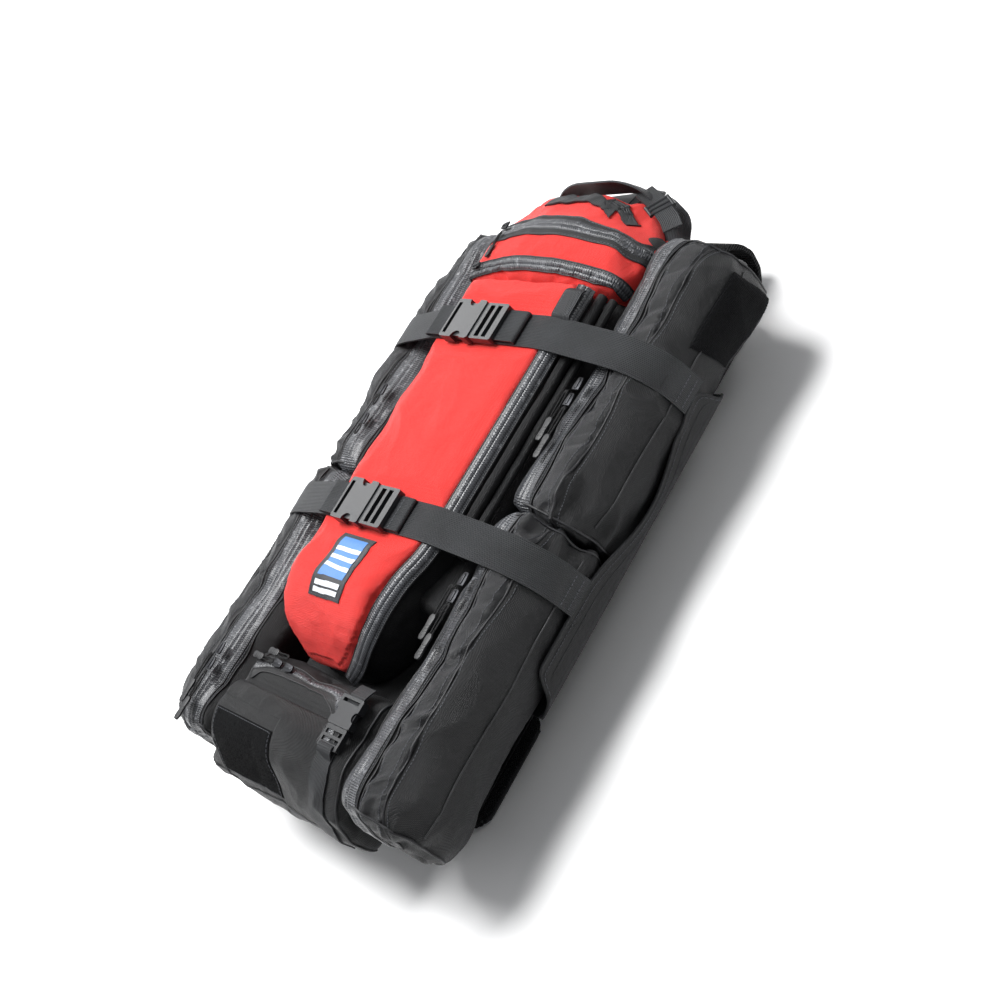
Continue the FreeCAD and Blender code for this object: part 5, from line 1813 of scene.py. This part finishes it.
@dataclass
class Harness(Assembly):
    """The back pad, shoulder straps, yoke and hip belt, folded flat behind the pack."""

    voxel: float = 2.7

    def pad(self, node: str, corner: float) -> Piece:
        """A quilted pad in the place of a flat frame node.

        Args:
            node: the frame node.
            corner: the radius of its corners, in millimetres.

        Returns:
            The pad.
        """
        low, high = limits(node)
        plan = []
        inset = 1.2
        x0, x1, y0, y1 = low.x + inset, high.x - inset, low.y + inset, high.y - inset
        for cx, cy, start in ((x1 - corner, y1 - corner, 0), (x0 + corner, y1 - corner, 90),
                              (x0 + corner, y0 + corner, 180), (x1 - corner, y0 + corner, 270)):
            for step in range(5):
                turn = math.radians(start + 22.5 * step)
                plan.append((cx + corner * math.cos(turn), cy + corner * math.sin(turn)))
        piece = extruded(plan, "Z", low.z + 0.7, high.z - 0.7, 2.6, 2)
        remeshed(piece, self.voxel, 3)
        for vertex in piece.data.vertices:
            place = vertex.co / MM
            rim = min(place.x - low.x, high.x - place.x, place.y - low.y, high.y - place.y)
            channel = 0.0
            if rim > 9:
                channel = 1.6 * math.exp(-(((place.y - low.y) % 62 - 31) / 2.6) ** 2)
            edge = 1.5 * math.exp(-((rim - 7) / 2.2) ** 2)
            middle = (low.z + high.z) / 2
            side = 1 if place.z > middle else -1
            vertex.co.z = max(vertex.co.z - side * (channel + edge) * MM, low.z * MM)
        smooth(piece, 70)
        return piece

    def build(self) -> None:
        """Make the pads and their bindings, each on its own body."""
        fills = {"back_pad": ("pack", 14.0), "shoulder_strap_right": ("shoulder_strap_right", 12.0),
                 "shoulder_strap_left": ("shoulder_strap_left", 12.0),
                 "hip_belt_right": ("hip_belt_right", 20.0), "hip_belt_left": ("hip_belt_left", 20.0)}
        for node, (body, corner) in fills.items():
            piece = self.pad(node, corner)
            self.looks.dress(piece, f"{node}_quilted", "mesh", "padded_mesh", [node], body)
            low, high = limits(node)
            middle = (low.z + high.z) / 2
            near, far = corner, 1
            ring = [v(low.x + far, low.y + near, middle), v(low.x + near, low.y + far, middle),
                    v(high.x - near, low.y + far, middle), v(high.x - far, low.y + near, middle),
                    v(high.x - far, high.y - near, middle), v(high.x - near, high.y - far, middle),
                    v(low.x + near, high.y - far, middle), v(low.x + far, high.y - near, middle)]
            skin = Skin(piece)
            binding = tube(on_skin(skin, Route(ring + ring[:1], 0.02).many(150)[:-1], 0), 1.7, closed=True)
            rest_on(binding, low.z)
            self.looks.dress(binding, f"{node}_binding", "grosgrain", "padded_mesh", body=body)
            if "shoulder" in node:
                x = (low.x + high.x) / 2
                web = lay(skin, lambda a, t, x=x: v(x + (a - 0.5) * 25, high.y - 60 - 380 * t, high.z),
                          (8, 90), (25, 380), 1.2, lambda a, t: 0.3)
                for vertex in web.data.vertices:
                    vertex.co.z = min(vertex.co.z, (high.z + 0.4) * MM)
                self.looks.dress(web, f"{node}_webbing", "webbing", "webbing", body=body)
        self.yoke()

    def yoke(self) -> None:
        """The two arches that carry the shoulder straps round the top end."""
        low, high = limits("shoulder_yoke")
        bag = limits("main_bag")[1].y
        start = high.y - 48.8
        line = Route([v(0, bag + 1, 76), v(0, start - 8, 74), v(0, start + 10, 68), v(0, start + 22, 54),
                      v(0, start + 27, 38), v(0, start + 23, 18), v(0, start + 12, 4.6),
                      v(0, start + 0.5, 4.8)], 0.03)
        arches = []
        bindings = []
        for left, right in ((high.x - 56, high.x), (low.x, low.x + 56)):
            arch = lay(None, lambda a, t: line.at(t) + v(left + 1 + (right - left - 2) * a, 0, 0), (16, 90),
                       (54, line.length), 0.4)
            thicken(arch, 6.6, 0, 2.6)
            rest_on(arch, low.z)
            for vertex in arch.data.vertices:
                vertex.co.y = max(vertex.co.y, (bag + 0.8) * MM)
            arches.append(arch)
            for x in (left + 2, right - 2):
                spots = [line.at(t / 80) + v(x, 0, 0) for t in range(81)]
                for spot in spots:
                    spot.z = max(spot.z, (low.z + 1.6) * MM)
                bindings.append(tube(spots, 1.6))
        yoke = joined(arches)
        smooth(yoke, 50)
        self.looks.dress(yoke, "shoulder_yoke_padded", "mesh", "padded_mesh", ["shoulder_yoke"])
        self.looks.dress(joined(bindings), "shoulder_yoke_bindings", "grosgrain", "padded_mesh")


# ---------------------------------------------------------------- sliders and their pulls


@dataclass
class Hardware(Assembly):
    """Zip sliders with their corded pulls or cord rings."""

    cord: float = 1.15

    def slider(self, place: Matrix) -> Piece:
        """One cast slider: a body that tapers, and a bridge over it.

        Args:
            place: where its middle goes.

        Returns:
            The slider.
        """
        body = extruded([(-4, -6.5), (-2.6, -7), (3.6, -7), (5, -6.5), (5, -1), (4, 6), (2.6, 7), (-1.6, 7),
                         (-3, 6), (-4, -1)], "Z", 0.45, 2.3, 0.5, 2)
        bridge = extruded([(-6, 2), (-5.4, 3.1), (3.6, 3.35), (5.6, 2.6), (5.8, 2), (4.4, 2), (3.2, 2.5),
                           (-4.2, 2.4), (-4.6, 2)], "X", -0.7, 1.7, 0.3, 2)
        piece = joined([body, bridge])
        piece.data.transform(place)
        return piece

    def pull(self, place: Matrix, x: float, length: float, seed: int) -> list:
        """A pull's doubled cord from the slider and the moulded tab on it, along -Y.

        Args:
            place: where the slider's middle is.
            x: the pull's lane beside the slider's middle, in millimetres.
            length: of the pull, in millimetres.
            seed: turns the cord a little differently for each pull.

        Returns:
            The cord and the tab.
        """
        rng = random.Random(seed)
        start, tip = -8.8, -8.8 - length
        knob = min(length * 0.5, 27)
        lean = rng.uniform(-0.5, 0.5)
        radius = self.cord * 0.72
        loops = []
        for side in (-1, 1):
            line = Route([v(x + side * 0.4, start + 0.2, 1.7), v(x + side * 1.9, start - 4, 1.9),
                          v(x + side * 2.1 + lean, start - (length - knob) * 0.5, 1.75),
                          v(x + side * 1.3, tip + knob - 2, 1.8)], 0.05)
            loops.append(tube(line.many(22), radius))
        turns = [t / 9 * math.pi for t in range(10)]
        loops.append(tube([v(x + 2.2 * math.cos(turn), start - 3 + 3.1 * math.sin(turn), 1.75)
                           for turn in turns], radius))
        half = 4.0
        edge = ((0.62, knob), (1, knob - 3.5), (0.8, knob * 0.5), (1, 4), (0.6, 0.6))
        outline = [(x - half * wide, tip + y) for wide, y in edge]
        outline += [(x + half * wide, tip + y) for wide, y in edge[::-1]]
        parts = [extruded(outline, "Z", 0.65, 3.1, 0.7)]
        for step in range(4):
            y = tip + 5 + step * 3.2
            parts.append(extruded([(x - 2.6, y), (x + 2.6, y), (x + 2.6, y + 1.3), (x - 2.6, y + 1.3)],
                                  "Z", 2.9, 3.45, 0.2, 2))
        tab = joined(parts)
        cord = joined(loops)
        for piece in (tab, cord):
            piece.data.transform(place)
            smooth(piece, 50)
        return [cord, tab]

    def ring(self, place: Matrix, length: float) -> Piece:
        """A short cord ring on a slider that has no tab.

        Args:
            place: where the slider's middle is.
            length: of the ring, in millimetres.

        Returns:
            The ring.
        """
        spots = []
        for t in range(24):
            turn = t / 24 * 2 * math.pi
            spots.append(v(0.5 + 2.1 * math.sin(turn), -7 - length / 2 + (length / 2 - 0.5) * math.cos(turn),
                           1.7))
        piece = tube(spots, 0.8, closed=True)
        piece.data.transform(place)
        return piece

    def build(self) -> None:
        """Replace each slider and pull by a detailed one on the same body."""
        lanes = {"a": -8.8, "b": 0.8}
        coil_z = limits("pod_zippers")[1].z
        for side, level in (("right", "upper"), ("right", "lower"), ("left", "upper"), ("left", "lower")):
            for end in "ab":
                label = f"{level}_{side}_{end}"
                high = limits(f"slider_{label}")[1]
                place = Matrix.Translation(v(high.x - 5, high.y - 7, coil_z))
                self.dress(label, place, lanes[end])
        pouch_z = limits("bottom_pouch_zipper")[1].z
        for end in "ab":
            low, high = limits(f"slider_bottom_{end}")
            place = Matrix.Translation(v(high.x - 7, low.y + 5, pouch_z))
            place = place @ Matrix.Rotation(math.radians(-90), 4, "Z")
            self.dress(f"bottom_{end}", place, lanes[end])
        lid_low, lid_high = limits("lid_pocket")
        middle = (lid_low.x + lid_high.x) / 2
        coil = CROWN_RADIUS + 2.6
        base = lid_high.z - CROWN_RADIUS
        for label, angle in (("lid", -14.5), ("throat", -17.0)):
            low, high = limits(f"slider_{label}")
            turn = math.radians(angle)
            spot = v(middle + coil * math.sin(turn), (low.y + high.y) / 2 + 0.5, base + coil * math.cos(turn))
            lean = Matrix.Translation(spot) @ Matrix.Rotation(turn, 4, "Y")
            across = lean @ Matrix.Rotation(math.radians(90), 4, "Z")
            self.dress(label, across, lanes["b"], lean)
        low, high = limits("slider_spine")
        place = Matrix.Translation(v(high.x - 5, high.y - 7, low.z - 0.4))
        self.dress("spine", place, lanes["b"])

    def dress(self, label: str, place: Matrix, lane: float,
              pull_place: Optional[Matrix] = None) -> None:
        """Put one slider, and its pull or ring, in place.

        Args:
            label: the slider's name in the frame, without its prefix.
            place: where its middle goes.
            lane: the pull's place beside the slider's middle, in millimetres.
            pull_place: where the pull hangs from, if it isn't in line with the slider.
        """
        slider = self.slider(place)
        smooth(slider, 35)
        self.looks.dress(slider, f"zip_slider_{label}", "slider", "slider_metal",
                     [f"slider_{label}"], f"slider_{label}")
        if f"pull_{label}" in frame["bodies"]:
            low, high = limits(f"pull_{label}")
            cord, tab = self.pull(pull_place or place, lane, max(high - low), len(label) * 7 + ord(label[-1]))
            self.looks.dress(cord, f"pull_cord_{label}", "cord", "pull_plastic", [f"pull_{label}"],
                         f"pull_{label}")
            self.looks.dress(tab, f"pull_tab_{label}", "pull", "pull_plastic", body=f"pull_{label}")
        else:
            ring = self.ring(place, 14 if "left" in label else 7)
            self.looks.dress(ring, f"pull_ring_{label}", "cord", "pull_plastic", body=f"slider_{label}")


def main() -> None:
    """Build the pack sub-assembly by sub-assembly."""
    logging.basicConfig(level=logging.INFO, format="%(name)s %(message)s")
    Studio().build()
    looks = Finishes()
    looks.build()
    straps = [Compression(looks, Level.UPPER), Compression(looks, Level.LOWER)]
    for strap in straps:
        strap.measure()
    MainBag(looks).build()
    pods = [Pod(looks, Side.RIGHT, Level.UPPER, 1.0), Pod(looks, Side.RIGHT, Level.LOWER, 2.0),
            Pod(looks, Side.LEFT, Level.UPPER, 3.0), Pod(looks, Side.LEFT, Level.LOWER, 4.0)]
    for pod in pods:
        pod.build(straps)
    PodZips(looks).build(pods)
    SpinePouch(looks).build(straps)
    lid = LidPocket(looks)
    lid.build()
    BottomPouch(looks).build()
    for strap in straps:
        strap.build()
    Wings(looks).build({1: [pods[0].skin, pods[1].skin], -1: [pods[2].skin, pods[3].skin]})
    pods[0].side_panel()
    handle = HaulHandle(looks)
    handle.build()
    handle.tab()
    handle.trim(lid.skin)
    Harness(looks).build()
    Hardware(looks).build()
    for prefix in ("upper", "lower", "pouch", "handle"):
        for kind in ("socket", "plug"):
            looks.keep(f"{prefix}_buckle_{kind}", "acetal")
    looks.keep("frame_sheet", "sheet")
    looks.keep("frame_stays", "alloy")


if __name__ == "__main__":
    main()
